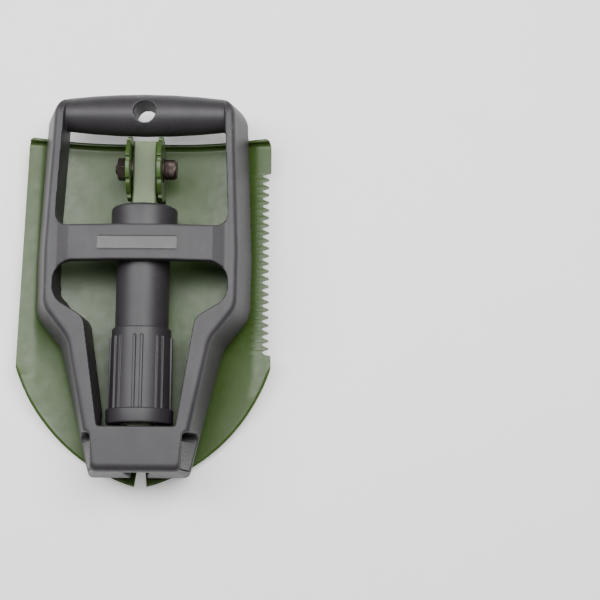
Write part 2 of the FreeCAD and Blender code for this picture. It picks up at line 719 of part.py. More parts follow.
def make_stem():
    """The square steel bar, with a flat tongue for the handle pin at its lower end."""
    body = new_body("stem")
    at(body, 0, 0, d["shaft_height"])
    half, bevel = d["bar_size"] / 2, d["bar_chamfer"]
    top = d["bolt_place"] + d["bar_end"]
    section = new_sketch(body, "XZ_Plane", -top)
    polygon(section, [
        (half, bevel - half), (half, half - bevel), (half - bevel, half), (bevel - half, half),
        (-half, half - bevel), (-half, bevel - half), (bevel - half, -half), (half - bevel, -half)])
    pad(body, section, top - d["pin_place"])
    end = circle(new_sketch(body, "YZ_Plane"), d["pin_place"], 0, half)
    pad(body, end, d["tongue_half"] * 2, symmetric=True)
    shoulder = d["pin_place"] + d["tongue_shoulder"]
    for side in (-1, 1):
        waste = new_sketch(body, "XY_Plane")
        near, far = d["tongue_half"] * side, 20.0 * side
        rectangle(waste, near, far, d["pin_place"] - 20, shoulder)
        pocket(body, waste, 40.0, symmetric=True)
    fit = d["bolt_radius"] + d["running_gap"]
    holes = circle(new_sketch(body, "YZ_Plane"), d["bolt_place"], 0, fit)
    circle(holes, d["pin_place"], 0, d["bolt_radius"])
    pocket(body, holes, 40.0, symmetric=True)
    return body


def make_handle_pin():
    """The pin that the handle turns on, pressed into the stem's tongue."""
    pin = cylinder("handle_pin", d["bolt_radius"], d["pin_half"] * 2)
    at(pin, -d["pin_half"], d["pin_place"], d["shaft_height"])
    return sub_part(pin, "handle_pin")


def make_retainer():
    """The washer staked on the stem, which keeps the twist grip from sliding down."""
    body = new_body("grip_retainer")
    at(body, 0, d["ring_low"], d["shaft_height"])
    sketch = circle(new_sketch(body, "XZ_Plane"), 0, 0, d["retainer_radius"])
    half = d["bar_size"] / 2
    rectangle(sketch, -half, half, -half, half)
    pad(body, sketch, d["retainer_gauge"], backwards=True)
    return body


# ---------------------------------------------------------------- the lock sleeve and twist grip


def make_sleeve():
    """The sleeve: a collar, a tube, and a narrow screw part inside the twist grip."""
    body = new_body("locking_sleeve")
    at(body, 0, 0, d["shaft_height"])
    face, low = d["collar_face"], d["collar_face"] - d["collar_length"]
    mouth = face - d["mouth_depth"]
    profile = polygon(new_sketch(body, "XY_Plane"), [
        (d["sleeve_bore"], d["screw_end"]), (d["screw_radius"], d["screw_end"]),
        (d["screw_radius"], d["tube_end"]), (d["tube_radius"], d["tube_end"]),
        (d["tube_radius"], low), (d["collar_radius"], low), (d["collar_radius"], face),
        (d["mouth_radius"], face), (d["mouth_radius"], mouth), (d["sleeve_bore"], mouth)])
    revolve(body, profile)
    soften(body, "Fillet", d["collar_round"], lambda e: is_circle(e, d["collar_radius"], face))
    soften(body, "Fillet", 1.0, lambda e: is_circle(e, d["mouth_radius"], face))
    soften(body, "Fillet", 1.2, lambda e: is_circle(e, d["collar_radius"], low))
    return body


def make_insert():
    """The steel lock insert in the collar: a disc on the square stem, with four prongs."""
    body = new_body("lock_insert")
    at(body, 0, d["collar_face"] - d["mouth_depth"], d["shaft_height"])
    hole = d["bar_size"] / 2 + 0.1
    disc = circle(new_sketch(body, "XZ_Plane"), 0, 0, d["mouth_radius"])
    rectangle(disc, -hole, hole, -hole, hole)
    pad(body, disc, d["insert_gauge"], backwards=True)
    prongs = new_sketch(body, "XZ_Plane")
    middle = d["ear_gap_half"] + d["ear_gauge"] / 2
    for across in (-1, 1):
        for up in (-1, 1):
            x, z = middle * across, d["notch_offset"] * up
            wide, tall = d["prong_width"] / 2, d["prong_height"] / 2
            rectangle(prongs, x - wide, x + wide, z - tall, z + tall)
    pad(body, prongs, d["mouth_depth"], backwards=True)
    return body


def make_grip():
    """The twist grip: a sleeve with eight pairs of ribs."""
    body = new_body("twist_grip")
    at(body, 0, 0, d["shaft_height"])
    mouth = d["tube_radius"] + d["grip_gap"]
    bore = d["screw_radius"] + d["grip_gap"]
    step = d["tube_end"] - 2
    profile = polygon(new_sketch(body, "XY_Plane"), [
        (bore, d["ring_top"]), (d["grip_low_radius"], d["ring_top"]),
        (d["grip_top_radius"], d["grip_top"]), (mouth, d["grip_top"]), (mouth, step), (bore, step)])
    revolve(body, profile)
    soften(body, "Fillet", 0.9, lambda e: is_circle(e, d["grip_top_radius"], d["grip_top"]))
    ribs = new_sketch(body, "XZ_Plane", -d["rib_top"])
    root = d["grip_top_radius"] - 1.2
    half = d["rib_width"] / 2
    for i in range(8):
        for side in (-1, 1):
            turn = math.radians(45.0 * i + side * d["rib_spread"].value)
            c, s = math.cos(turn), math.sin(turn)
            crown = half * 0.5
            corners = [(root, -half), (d["rib_radius"] - 0.5, -half), (d["rib_radius"], -crown),
                       (d["rib_radius"], crown), (d["rib_radius"] - 0.5, half), (root, half)]
            polygon(ribs, [(a * c - b * s, a * s + b * c) for a, b in corners])
    pad(body, ribs, d["rib_top"] - d["ring_top"])
    return body


def make_ring_cap():
    """The smooth ring that closes the twist grip's lower end."""
    body = new_body("grip_end_ring")
    at(body, 0, 0, d["shaft_height"])
    well = d["retainer_radius"] + 0.3
    seat = d["ring_low"] + d["retainer_gauge"] + 0.3
    bore = d["sleeve_bore"]
    profile = polygon(new_sketch(body, "XY_Plane"), [
        (well, d["ring_low"]), (d["ring_radius"], d["ring_low"]), (d["ring_radius"], d["ring_top"]),
        (bore, d["ring_top"]), (bore, seat), (well, seat)])
    revolve(body, profile)
    soften(body, "Fillet", 1.0, lambda e: is_circle(e, d["ring_radius"]))
    return body


# ---------------------------------------------------------------- the handle


def mirrored(half_outline, top=(), foot=()):
    """A closed outline, anticlockwise, from its right half listed top to bottom.

    Corners on the middle line are given apart, for the top and for the foot.
    """
    left = [(-x, *rest) for x, *rest in half_outline]
    return half_outline[::-1] + list(top) + left + list(foot)


def handle_outlines():
    """The right halves of the handle's outline at its back and at its front."""
    inset, end_side = d["side_inset"], d["end_inset_side"]
    back = [
        (d["top_half"], d["frame_top"], d["top_round"]), (d["hip_high_half"], d["hip_high"]),
        (d["hip_low_half"], d["hip_low"], d["hip_round"]),
        (d["waist_half"], d["waist"], d["waist_round"]),
        (d["end_half"], d["frame_end"], d["end_round"])]
    front = [
        (d["top_half"] - inset, d["frame_top"] - 2, d["top_round_front"]),
        (d["hip_high_half"] - inset, d["hip_high"]),
        (d["hip_low_half"] - inset, d["hip_low"] + 3, d["hip_round_front"]),
        (d["waist_half"] - inset * 0.9, d["waist"] + 3, d["waist_round_front"]),
        (d["end_half"] - end_side, d["frame_end"] + d["end_inset"], d["end_round_front"])]
    return back, front


def make_handle():
    """The moulded D-handle: hand grip, two limbs, crossbar and the block that holds the pin."""
    body = new_body("handle_frame")
    back, front = handle_outlines()
    low = polygon(new_sketch(body, "XY_Plane", d["frame_back"]), mirrored(back))
    high = polygon(new_sketch(body, "XY_Plane", d["frame_front"]), mirrored(front))
    blank = body.newObject("PartDesign::AdditiveLoft", "handle_blank")
    blank.Profile = high
    blank.Sections = [low]
    blank.Ruled = True
    settle(body, blank)
    front_level = d["frame_front"].value
    soften(body, "Fillet", d["front_round"], lambda e: e.BoundBox.ZMin > front_level - 0.01)
    round_limb_tops(body)
    add_crossbar(body)
    hollow_handle(body)
    cut_label_recess(body)
    add_hand_grip(body)
    cut_block(body)
    return body


def round_limb_tops(body):
    """Rounds the limbs' tops about the hand grip, seen from the side."""
    middle = (d["frame_back"] + d["frame_front"]) / 2
    radius = (d["frame_front"] - d["frame_back"]) / 2
    centre = d["grip_place"] + d["grip_end_radius"] + 0.3 - radius
    beyond, below, above = d["frame_top"] + 20, d["frame_back"] - 20, d["frame_front"] + 20
    waste = new_sketch(body, "YZ_Plane")
    polygon(waste, [
        (centre, below), (beyond, below), (beyond, above), (centre, above),
        (centre, middle + radius), (centre + radius, middle + radius, radius - 0.1),
        (centre + radius, middle - radius, radius - 0.1), (centre, middle - radius)])
    pocket(body, waste, 200.0, symmetric=True)


def hollow_handle(body):
    """Cuts both openings, the room for the sleeve and the collar's relief under the crossbar."""
    start, depth = d["bar_face"] + 1, d["bar_face"] * 2
    crown = d["bar_crown"]
    window = new_sketch(body, "XY_Plane", start)
    low = d["bar_high"]
    polygon(window, mirrored(
        [(d["window_half_top"], d["frame_top"] + 10), (d["window_half_low"], low, d["window_round"])],
        foot=[(0.0, low + crown, d["crown_round"])]))
    pocket(body, window, depth, draft=d["window_draft"])
    gape = new_sketch(body, "XY_Plane", start)
    high = d["bar_low"]
    polygon(gape, mirrored([
        (d["gape_half"], high, d["gape_round"]), (d["gape_half"], d["gape_low"], d["gape_low_round"]),
        (d["neck_half"], d["neck_place"], d["neck_round"]),
        (d["throat_half"], d["throat_place"], 1.0)], top=[(0.0, high + crown, d["crown_round"])]))
    pocket(body, gape, depth, draft=d["gape_draft"])
    under = new_sketch(body, "XY_Plane", d["bar_under"])
    half = d["window_half_low"] - 0.6
    rectangle(under, -half, half, high - 12, low + 12)
    pocket(body, under, depth, draft=d["window_draft"])
    relief = new_sketch(body, "XZ_Plane", -(low + 3))
    circle(relief, 0, d["shaft_height"], d["collar_radius"] + d["collar_room"])
    collar_end = d["collar_face"] - d["collar_length"] - d["collar_room"]
    pocket(body, relief, low + 3 - collar_end, backwards=True)


def add_crossbar(body):
    """The blank of the raised crossbar with its ramps."""
    profile = new_sketch(body, "XZ_Plane", -d["bar_high"] - d["bar_crown"] * 2)
    polygon(profile, [
        (-d["bar_ramp_half"] - 3, d["bar_under"]), (d["bar_ramp_half"] + 3, d["bar_under"]),
        (d["bar_ramp_half"] + 3, d["frame_front"] - 0.3), (d["bar_ramp_half"], d["frame_front"]),
        (d["bar_flat_half"], d["bar_face"]), (-d["bar_flat_half"], d["bar_face"]),
        (-d["bar_ramp_half"], d["frame_front"]), (-d["bar_ramp_half"] - 3, d["frame_front"] - 0.3)])
    pad(body, profile, d["bar_high"] - d["bar_low"] + d["bar_crown"] * 4)


def cut_label_recess(body):
    """The recess for the label plate in the crossbar's face."""
    recess = new_sketch(body, "XY_Plane", d["bar_face"])
    half, tall = d["label_half"], d["label_height"] / 2
    rectangle(recess, d["label_middle"] - half, d["label_middle"] + half,
              d["label_place"] - tall, d["label_place"] + tall)
    pocket(body, recess, d["label_depth"])


def add_hand_grip(body):
    """The barrel-shaped hand grip with the hang hole through it."""
    reach = d["window_half_top"] + 0.5
    swell, slim = d["grip_radius"], d["grip_end_radius"]
    axis = d["grip_place"]
    profile = new_sketch(body, "XY_Plane", d["grip_height"])
    steps = 6
    crest = []
    for i in range(steps + 1):
        share = 1 - 2 * i / steps
        radius = slim + (swell - slim) * (1 - share * share)
        crest.append((reach * share, axis + radius))
    polygon(profile, [(-reach, axis), (reach, axis)] + crest)
    feature = body.newObject("PartDesign::Revolution", "hand_grip")
    feature.Profile = profile
    feature.ReferenceAxis = (profile, ["Edge1"])
    feature.Angle = 360
    settle(body, feature)
    hole = circle(new_sketch(body, "XY_Plane"), 0, d["hole_place"], d["hole_radius"])
    pocket(body, hole, 200.0, symmetric=True)


def cut_block(body):
    """The tongue's channel, the pin hole, the tab wells and the guide-post holes of the block."""
    channel = new_sketch(body, "XZ_Plane", -d["throat_place"] + 1)
    roof, foot = d["lip_under"], d["frame_back"] - 2
    polygon(channel, [
        (-d["channel_half_back"], foot), (d["channel_half_back"], foot),
        (d["channel_half_front"], roof), (-d["channel_half_front"], roof)])
    pocket(body, channel, 60.0, backwards=True)
    throat = new_sketch(body, "XY_Plane")
    rectangle(throat, -d["throat_half"], d["throat_half"],
              d["throat_back"], d["throat_place"] + d["throat_relief"])
    pocket(body, throat, d["lip_under"], backwards=True)
    pin = circle(new_sketch(body, "YZ_Plane"), d["pin_place"], d["shaft_height"],
                 d["bolt_radius"] + d["running_gap"])
    pocket(body, pin, (d["pin_half"] + 0.4) * 2, symmetric=True)
    posts = circle(new_sketch(body, "YZ_Plane"), d["pin_place"], d["shaft_height"] + d["post_rise"],
                   d["post_radius"] + 0.2)
    pocket(body, posts, 60.0, symmetric=True)
    for side in (-1, 1):
        well = new_sketch(body, "YZ_Plane", d["well_floor"] * side)
        low, high, back, front = d["well_low"], d["well_high"], d["well_back"], d["well_front"]
        polygon(well, [(low, back), (high, back, 4.0), (high, front, 4.0), (low, front)])
        pocket(body, well, 30.0, backwards=side > 0)
        notch = new_sketch(body, "XY_Plane", d["well_front"] - 2)
        near, far = d["notch_reach"] * side, 60.0 * side
        polygon(notch, [(near, low, 1.5), (far, low), (far, high), (near + 1.2 * side, high, 3.0)])
        pocket(body, notch, 20.0, backwards=True)


def make_label():
    """The thin blank label plate in the crossbar's recess."""
    length, height = d["label_half"] * 2 - 0.4, d["label_height"] - 0.4
    plate = primitive("Box", "label_plate", Length=length, Width=height, Height=d["label_depth"] - 0.1)
    at(plate, d["label_middle"] - length / 2, d["label_place"] - height / 2,
       d["bar_face"] - d["label_depth"])
    return sub_part(plate, "label_plate")


def side_reach(level, height):
    """Distance of the block's side face from the middle, at a place along and a height."""
    run = (level - d["waist"].value) / (d["frame_end"].value - d["waist"].value)
    back = d["waist_half"].value + (d["end_half"].value - d["waist_half"].value) * run
    rise = (height - d["frame_back"].value) / (d["frame_front"].value - d["frame_back"].value)
    lean = d["side_inset"].value * 0.9
    lean += (d["end_inset_side"].value - lean) * run
    return back - lean * rise


def make_tab(side, label):
    """A release tab: a pad that follows the block's leaning side, with a guide post."""
    body = new_body(label)
    gap = d["tab_gap"]
    low, high = d["well_low"] + gap, d["tab_high"]
    foot, head = d["well_back"] + gap, d["well_front"] - gap
    levels = [as_dim(low).value, as_dim(high).value]
    sections = []
    for level in levels:
        sketch = new_sketch(body, "XZ_Plane", -level)
        near = d["tab_inner"] * side
        foot_reach = side_reach(level, foot.value) - 0.5
        head_reach = d["notch_reach"].value + 0.8
        polygon(sketch, [(near, foot), (foot_reach * side, foot), (head_reach * side, head),
                         (near, head)])
        sections.append(sketch)
    loft = body.newObject("PartDesign::AdditiveLoft", f"{label}_pad")
    loft.Profile = sections[0]
    loft.Sections = sections[1:]
    loft.Ruled = True
    settle(body, loft)
    post = new_sketch(body, "YZ_Plane", d["post_tip"] * side)
    circle(post, d["pin_place"], d["shaft_height"] + d["post_rise"], d["post_radius"])
    pad(body, post, d["tab_inner"] - d["post_tip"] + 1, backwards=side < 0)
    seat = new_sketch(body, "YZ_Plane", d["tab_inner"] * side)
    circle(seat, d["pin_place"], d["shaft_height"] + d["post_rise"], d["spring_radius"] + 0.7)
    circle(seat, d["pin_place"], d["shaft_height"] + d["post_rise"], d["post_radius"])
    pocket(body, seat, 1.2, backwards=side > 0)
    return body


def make_spring(side, label):
    """The coil spring round a tab's guide post."""
    radius, wire = d["spring_radius"].value, d["spring_wire"].value
    start = d["well_floor"].value + wire / 2 + 0.1
    length = d["tab_inner"].value + 1.1 - wire - start
    turns = 3
    path = Part.makeHelix(length / turns, length, radius)
    profile = Part.Wire(Part.makeCircle(wire / 2, Vector(radius, 0, 0), Vector(0, 1, 0)))
    coil = Part.Wire(path.Edges).makePipeShell([profile], True, True)
    item = doc.addObject("Part::Feature", label)
    item.Shape = coil
    turn = FreeCAD.Rotation(Vector(0, 1, 0), 90 * side)
    height = d["shaft_height"].value + d["post_rise"].value
    item.Placement = FreeCAD.Placement(Vector(start * side, d["pin_place"].value, height), turn)
    return sub_part(item, label)


# ---------------------------------------------------------------- building and writing


def check_document():
    """Stops if any object failed, or if a sub-part is missing or broken."""
    doc.recompute()
    for item in doc.Objects:
        assert not {"Invalid", "Error"} & set(item.State), f"{item.Name} is {item.State}"
    labels = [item.Label for item in PARTS]
    assert len(labels) == len(set(labels))
    for item in PARTS:
        assert not item.Shape.isNull(), f"{item.Label} is empty"
        assert item.Shape.isValid(), f"{item.Label} isn't valid"
        assert item.Shape.Solids, f"{item.Label} has no solid"


def write_parts():
    """Writes each sub-part to its own STEP file."""
    os.makedirs(OUTPUT, exist_ok=True)
    for item in PARTS:
        item.Shape.exportStep(os.path.join(OUTPUT, f"{item.Label}.step"))
        box = item.Shape.BoundBox
        print(f"{item.Label:18s} {len(item.Shape.Solids)} solid(s) {item.Shape.Volume / 1000:7.2f} cm3",
              f"x {box.XMin:.1f} {box.XMax:.1f} y {box.YMin:.1f} {box.YMax:.1f}",
              f"z {box.ZMin:.1f} {box.ZMax:.1f}")


def main():
    make_blade()
    make_bracket()
    make_rivets()
    make_bolt()
    make_nut()
    washer_place = d["ear_gap_half"] + d["ear_gauge"]
    make_ring("pivot_washer", d["bolt_radius"], d["washer_radius"], d["washer_gauge"], washer_place)
    make_spacers()
    make_stem()
    make_handle_pin()
    make_retainer()
    make_sleeve()
    make_insert()
    make_grip()
    make_ring_cap()
    make_handle()
    make_label()
    for side, name in ((-1, "left"), (1, "right")):
        make_tab(side, f"release_tab_{name}")
        make_spring(side, f"tab_spring_{name}")
    check_document()
    write_parts()


main()
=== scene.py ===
"""The looks of the folding camp shovel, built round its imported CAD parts.

Lengths are in metres in the CAD frame: X across the blade, Y along it towards the hinge, Z up.
"""

import json
import math

import bmesh
import bpy
import numpy as np
from mathutils import Matrix, Vector


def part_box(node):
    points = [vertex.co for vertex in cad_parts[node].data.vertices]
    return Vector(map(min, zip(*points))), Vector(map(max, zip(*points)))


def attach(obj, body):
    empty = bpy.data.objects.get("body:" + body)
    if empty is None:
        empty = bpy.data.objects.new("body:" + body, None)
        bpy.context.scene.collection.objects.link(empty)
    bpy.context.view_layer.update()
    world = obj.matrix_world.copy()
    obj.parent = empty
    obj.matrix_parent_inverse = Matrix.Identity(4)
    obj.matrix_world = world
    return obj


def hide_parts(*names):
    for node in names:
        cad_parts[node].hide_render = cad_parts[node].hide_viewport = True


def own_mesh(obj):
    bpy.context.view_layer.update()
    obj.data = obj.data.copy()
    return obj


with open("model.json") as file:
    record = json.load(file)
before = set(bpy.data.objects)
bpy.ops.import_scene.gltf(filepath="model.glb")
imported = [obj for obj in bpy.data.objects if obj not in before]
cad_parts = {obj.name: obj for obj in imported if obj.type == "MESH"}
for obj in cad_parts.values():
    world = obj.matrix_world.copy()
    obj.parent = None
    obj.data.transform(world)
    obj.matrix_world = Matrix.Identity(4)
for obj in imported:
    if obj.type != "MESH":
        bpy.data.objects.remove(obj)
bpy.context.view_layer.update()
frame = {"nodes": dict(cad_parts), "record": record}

MM = 0.001
BODY_OF = {node: body for body, nodes in frame["record"]["behaviour"]["bodies"].items()
           for node in nodes}
SLOT_OF = {part["node"]: part["material_slot"] for part in frame["record"]["subparts"]}


def middle(node):
    """The middle of a CAD node's box."""
    low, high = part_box(node)
    return [(a + b) / 2 for a, b in zip(low, high)]


# ---------------------------------------------------------------- materials


class Nodes:
    """A material's node tree, with short calls for the nodes that this script uses."""

    def __init__(self, name):
        self.material = bpy.data.materials.new(name)
        self.material.use_nodes = True
        self.tree = self.material.node_tree
        self.shader = self.tree.nodes["Principled BSDF"]
        self.place = self.add("ShaderNodeTexCoord").outputs["Object"]

    def add(self, kind, **settings):
        """A new node of a kind, with its settings."""
        node = self.tree.nodes.new(kind)
        for key, value in settings.items():
            setattr(node, key, value)
        return node

    def link(self, source, target):
        """Joins an output to an input."""
        self.tree.links.new(source, target)

    def feed(self, socket, value):
        """Gives a socket a value, or links it to another node's output."""
        if isinstance(value, bpy.types.NodeSocket):
            self.link(value, socket)
        else:
            socket.default_value = value

    def noise(self, size, detail=3.0, roughness=0.55, stretch=(1, 1, 1)):
        """Noise whose lumps are about size metres across."""
        mapping = self.add("ShaderNodeMapping")
        mapping.inputs["Scale"].default_value = stretch
        self.link(self.place, mapping.inputs["Vector"])
        node = self.add("ShaderNodeTexNoise")
        node.inputs["Scale"].default_value = 1 / size
        node.inputs["Detail"].default_value = detail
        node.inputs["Roughness"].default_value = roughness
        self.link(mapping.outputs["Vector"], node.inputs["Vector"])
        return node.outputs["Fac"]

    def cells(self, size):
        """Distances in a cell pattern whose cells are about size metres across."""
        node = self.add("ShaderNodeTexVoronoi")
        node.inputs["Scale"].default_value = 1 / size
        self.link(self.place, node.inputs["Vector"])
        return node.outputs["Distance"]

    def ramp(self, value, low, high, start=0.0, end=1.0):
        """The value, taken from low..high to start..end and held there."""
        node = self.add("ShaderNodeMapRange")
        for socket, number in zip(("From Min", "From Max", "To Min", "To Max"),
                                  (low, high, start, end)):
            node.inputs[socket].default_value = number
        self.link(value, node.inputs["Value"])
        return node.outputs["Result"]

    def math(self, operation, a, b):
        """The result of an operation on two numbers or outputs."""
        node = self.add("ShaderNodeMath", operation=operation)
        self.feed(node.inputs[0], a)
        self.feed(node.inputs[1], b)
        return node.outputs["Value"]

    def mix(self, share, a, b):
        """A colour between a and b."""
        node = self.add("ShaderNodeMix", data_type="RGBA")
        self.feed(node.inputs["Factor"], share)
        self.feed(node.inputs["A"], a if isinstance(a, bpy.types.NodeSocket) else (*a, 1))
        self.feed(node.inputs["B"], b if isinstance(b, bpy.types.NodeSocket) else (*b, 1))
        return node.outputs["Result"]

    def soft_edge(self, radius):
        """The surface's normal with its edges rounded by radius."""
        node = self.add("ShaderNodeBevel", samples=6)
        node.inputs["Radius"].default_value = radius
        return node.outputs["Normal"]

    def edge_mask(self, radius):
        """1 on the object's edges and 0 on its faces."""
        flat = self.add("ShaderNodeNewGeometry").outputs["Normal"]
        dot = self.add("ShaderNodeVectorMath", operation="DOT_PRODUCT")
        self.link(self.soft_edge(radius), dot.inputs[0])
        self.link(flat, dot.inputs[1])
        return self.ramp(dot.outputs["Value"], 0.99, 0.9)

    def bump(self, height, depth, strength=1.0, under=None):
        """Raises the surface by the height, depth metres at 1, over a normal found before."""
        node = self.add("ShaderNodeBump")
        node.inputs["Strength"].default_value = strength
        node.inputs["Distance"].default_value = depth
        self.link(height, node.inputs["Height"])
        if under is not None:
            self.link(under, node.inputs["Normal"])
        return node.outputs["Normal"]

    def finish(self, color, roughness, normal, **uniform):
        """Wires the shader. The uniform values go straight to its own sockets."""
        self.feed(self.shader.inputs["Base Color"], color)
        self.feed(self.shader.inputs["Roughness"], roughness)
        self.link(normal, self.shader.inputs["Normal"])
        for name, value in uniform.items():
            self.shader.inputs[name.replace("_", " ")].default_value = value
        return self.material


def paint(name, deep, pale, gloss=0.36):
    """Satin enamel sprayed on steel: orange peel, slight mottling and a painted highlight along its
    edges.
    """
    n = Nodes(name)
    mottle = n.ramp(n.noise(0.022, 4.0), 0.3, 0.7)
    speck = n.ramp(n.noise(0.0006, 2.0), 0.35, 0.75)
    color = n.mix(mottle, deep, pale)
    color = n.mix(n.math("MULTIPLY", speck, 0.35), color, [v * 0.72 for v in deep])
    # Painted highlight: the edges are lightened towards a pale grey-green, broken up by noise.
    edge_highlight = n.math("MULTIPLY", n.edge_mask(0.5 * MM), n.ramp(n.noise(0.004, 5.0), 0.45, 0.68))
    color = n.mix(n.math("MULTIPLY", edge_highlight, 0.4), color, (0.33, 0.38, 0.26))
    rough = n.ramp(n.noise(0.006, 4.0), 0.3, 0.7, gloss - 0.04, gloss + 0.07)
    peel = n.bump(n.noise(0.0013, 1.5), 0.06 * MM, 0.55, n.soft_edge(0.35 * MM))
    peel = n.bump(n.noise(0.009, 2.0), 0.12 * MM, 0.35, peel)
    return n.finish(color, rough, peel, Coat_Weight=0.12, Coat_Roughness=0.3, Specular_IOR_Level=0.42)


def nylon(name, dark, pale, grain=0.45 * MM, depth=0.05 * MM, gloss=0.5, edge=0.5 * MM):
    """Glass-filled black nylon: fine spark-eroded grain, flow marks, faint scuffs, and a painted
    highlight along its edges.
    """
    n = Nodes(name)
    speck = n.ramp(n.noise(grain, 3.0, 0.7), 0.36, 0.68)
    cloud = n.ramp(n.noise(0.018, 4.0), 0.3, 0.72)
    flow = n.ramp(n.noise(0.006, 3.0, 0.5, (1.0, 0.25, 1.0)), 0.35, 0.75)
    color = n.mix(speck, dark, pale)
    color = n.mix(n.math("MULTIPLY", cloud, 0.35), color, [v * 1.35 for v in pale])
    crossing = n.math("ABSOLUTE", n.math("SUBTRACT", n.noise(0.011, 2.0), 0.5), 0.0)
    scuff = n.math("MULTIPLY", n.ramp(crossing, 0.0, 0.008, 1.0, 0.0),
                   n.ramp(n.noise(0.016, 3.0), 0.52, 0.66))
    color = n.mix(n.math("MULTIPLY", scuff, 0.5), color, [v * 3.0 for v in pale])
    # Painted highlight: the edges are lightened towards a pale grey, broken up by noise.
    edge_sheen = n.math("MULTIPLY", n.edge_mask(edge), n.ramp(n.noise(0.0035, 5.0), 0.4, 0.7))
    color = n.mix(n.math("MULTIPLY", edge_sheen, 0.35), color, [v * 2.4 for v in pale])
    rough = n.ramp(speck, 0.0, 1.0, gloss - 0.06, gloss + 0.08)
    rough = n.math("SUBTRACT", rough, n.math("MULTIPLY", flow, 0.05))
    skin = n.bump(n.noise(grain, 4.0, 0.65), depth, 0.6, n.soft_edge(edge))
    skin = n.bump(n.noise(0.007, 2.0), 0.10 * MM, 0.25, skin)
    return n.finish(color, rough, skin, Specular_IOR_Level=0.5)


def steel(name, dark, pale, rust, gloss):
    """Blackened or bare steel: a fine grain, oxide blotches, rust if there is any, and a painted glint
    along the edges.
    """
    n = Nodes(name)
    blotch = n.ramp(n.noise(0.0025, 5.0, 0.65), 0.35, 0.7)
    color = n.mix(blotch, dark, pale)
    if rust:
        spots = n.ramp(n.noise(0.0016, 6.0, 0.7), 0.5, 0.62)
        color = n.mix(n.math("MULTIPLY", spots, rust), color, (0.11, 0.04, 0.018))
    # Painted glint: the edges are lightened a long way towards white, broken up by noise.
    edge_glint = n.math("MULTIPLY", n.edge_mask(0.25 * MM), n.ramp(n.noise(0.001, 4.0), 0.35, 0.65))
    color = n.mix(n.math("MULTIPLY", edge_glint, 0.6), color, [min(1.0, v * 2.6) for v in pale])
    rough = n.ramp(n.noise(0.0012, 4.0), 0.3, 0.7, gloss - 0.08, gloss + 0.14)
    normal = n.bump(n.noise(0.0005, 3.0, 0.6), 0.03 * MM, 0.5, n.soft_edge(0.25 * MM))
    return n.finish(color, rough, normal, Metallic=0.85)


def pebbled(name, dark, pale):
    """Black nylon with the coarse pebbled texture of a press pad."""
    n = Nodes(name)
    pebble = n.cells(1.0 * MM)
    lump = n.ramp(pebble, 0.0, 0.7, 1.0, 0.0)
    color = n.mix(n.ramp(n.noise(0.6 * MM, 4.0, 0.7), 0.4, 0.62), dark, pale)
    rough = n.ramp(n.noise(0.5 * MM, 3.0), 0.3, 0.7, 0.42, 0.66)
    normal = n.bump(lump, 0.35 * MM, 0.9, n.soft_edge(0.4 * MM))
    normal = n.bump(n.noise(0.4 * MM, 4.0), 0.08 * MM, 0.7, normal)
    return n.finish(color, rough, normal, Specular_IOR_Level=0.55)


GREEN_DEEP, GREEN_PALE = (0.036, 0.072, 0.011), (0.048, 0.088, 0.018)
MATERIALS = {
    "green_paint": paint("green_enamel", GREEN_DEEP, GREEN_PALE),
    "stem_paint": paint("stem_enamel", (0.085, 0.125, 0.055), (0.100, 0.140, 0.066), 0.42),
    "black_nylon": nylon("black_nylon", (0.016, 0.0145, 0.0165), (0.034, 0.0305, 0.0345),
                         depth=0.07 * MM),
    "tab_nylon": pebbled("pebbled_nylon", (0.012, 0.011, 0.013), (0.10, 0.095, 0.10)),
    "label_plastic": nylon("label_plastic", (0.024, 0.024, 0.026), (0.032, 0.032, 0.034),
                           0.3 * MM, 0.012 * MM, 0.23, 0.2 * MM),
    "dark_steel": steel("blackened_steel", (0.045, 0.035, 0.032), (0.115, 0.095, 0.088),
                        0.45, 0.38),
    "bare_steel": steel("bare_steel", (0.28, 0.27, 0.26), (0.42, 0.41, 0.39), 0.0, 0.3),
}


# ---------------------------------------------------------------- mesh helpers


def add_piece(name, points, faces, node):
    """A mesh piece that stands for a CAD node and rides on that node's body."""
    mesh = bpy.data.meshes.new(name)
    mesh.from_pydata([tuple(map(float, p)) for p in points], [], faces)
    mesh.validate()
    item = bpy.data.objects.new(name, mesh)
    bpy.context.scene.collection.objects.link(item)
    return dress(item, node)


def dress(item, node, crease=35.0):
    """Smooths the piece but for its sharp creases, and gives it its node's place and material."""
    mesh = item.data
    mesh.polygons.foreach_set("use_smooth", [True] * len(mesh.polygons))
    mesh.set_sharp_from_angle(angle=math.radians(crease))
    mesh.materials.clear()
    mesh.materials.append(MATERIALS[SLOT_OF[node]])
    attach(item, BODY_OF[node])
    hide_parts(node)
    return item


def rounded(corners, steps=6):
    """A closed outline whose corners, given as (x, y, radius), are turned into arcs."""
    outline = []
    count = len(corners)
    for i, corner in enumerate(corners):
        here = np.array(corner[:2], float)
        radius = corner[2] if len(corner) > 2 else 0.0
        if radius <= 0:
            outline.append(tuple(here))
            continue
        before = np.array(corners[i - 1][:2], float) - here
        after = np.array(corners[(i + 1) % count][:2], float) - here
        before /= np.linalg.norm(before)
        after /= np.linalg.norm(after)
        half = math.acos(max(-1.0, min(1.0, float(before @ after)))) / 2
        bisector = (before + after) / np.linalg.norm(before + after)
        centre = here + bisector * radius / math.sin(half)
        start = here + before * radius / math.tan(half) - centre
        end = here + after * radius / math.tan(half) - centre
        first, last = math.atan2(start[1], start[0]), math.atan2(end[1], end[0])
        sweep = (last - first + math.pi) % (2 * math.pi) - math.pi
        for k in range(steps + 1):
            turn = first + sweep * k / steps
            outline.append((centre[0] + radius * math.cos(turn),
                            centre[1] + radius * math.sin(turn)))
    return outline


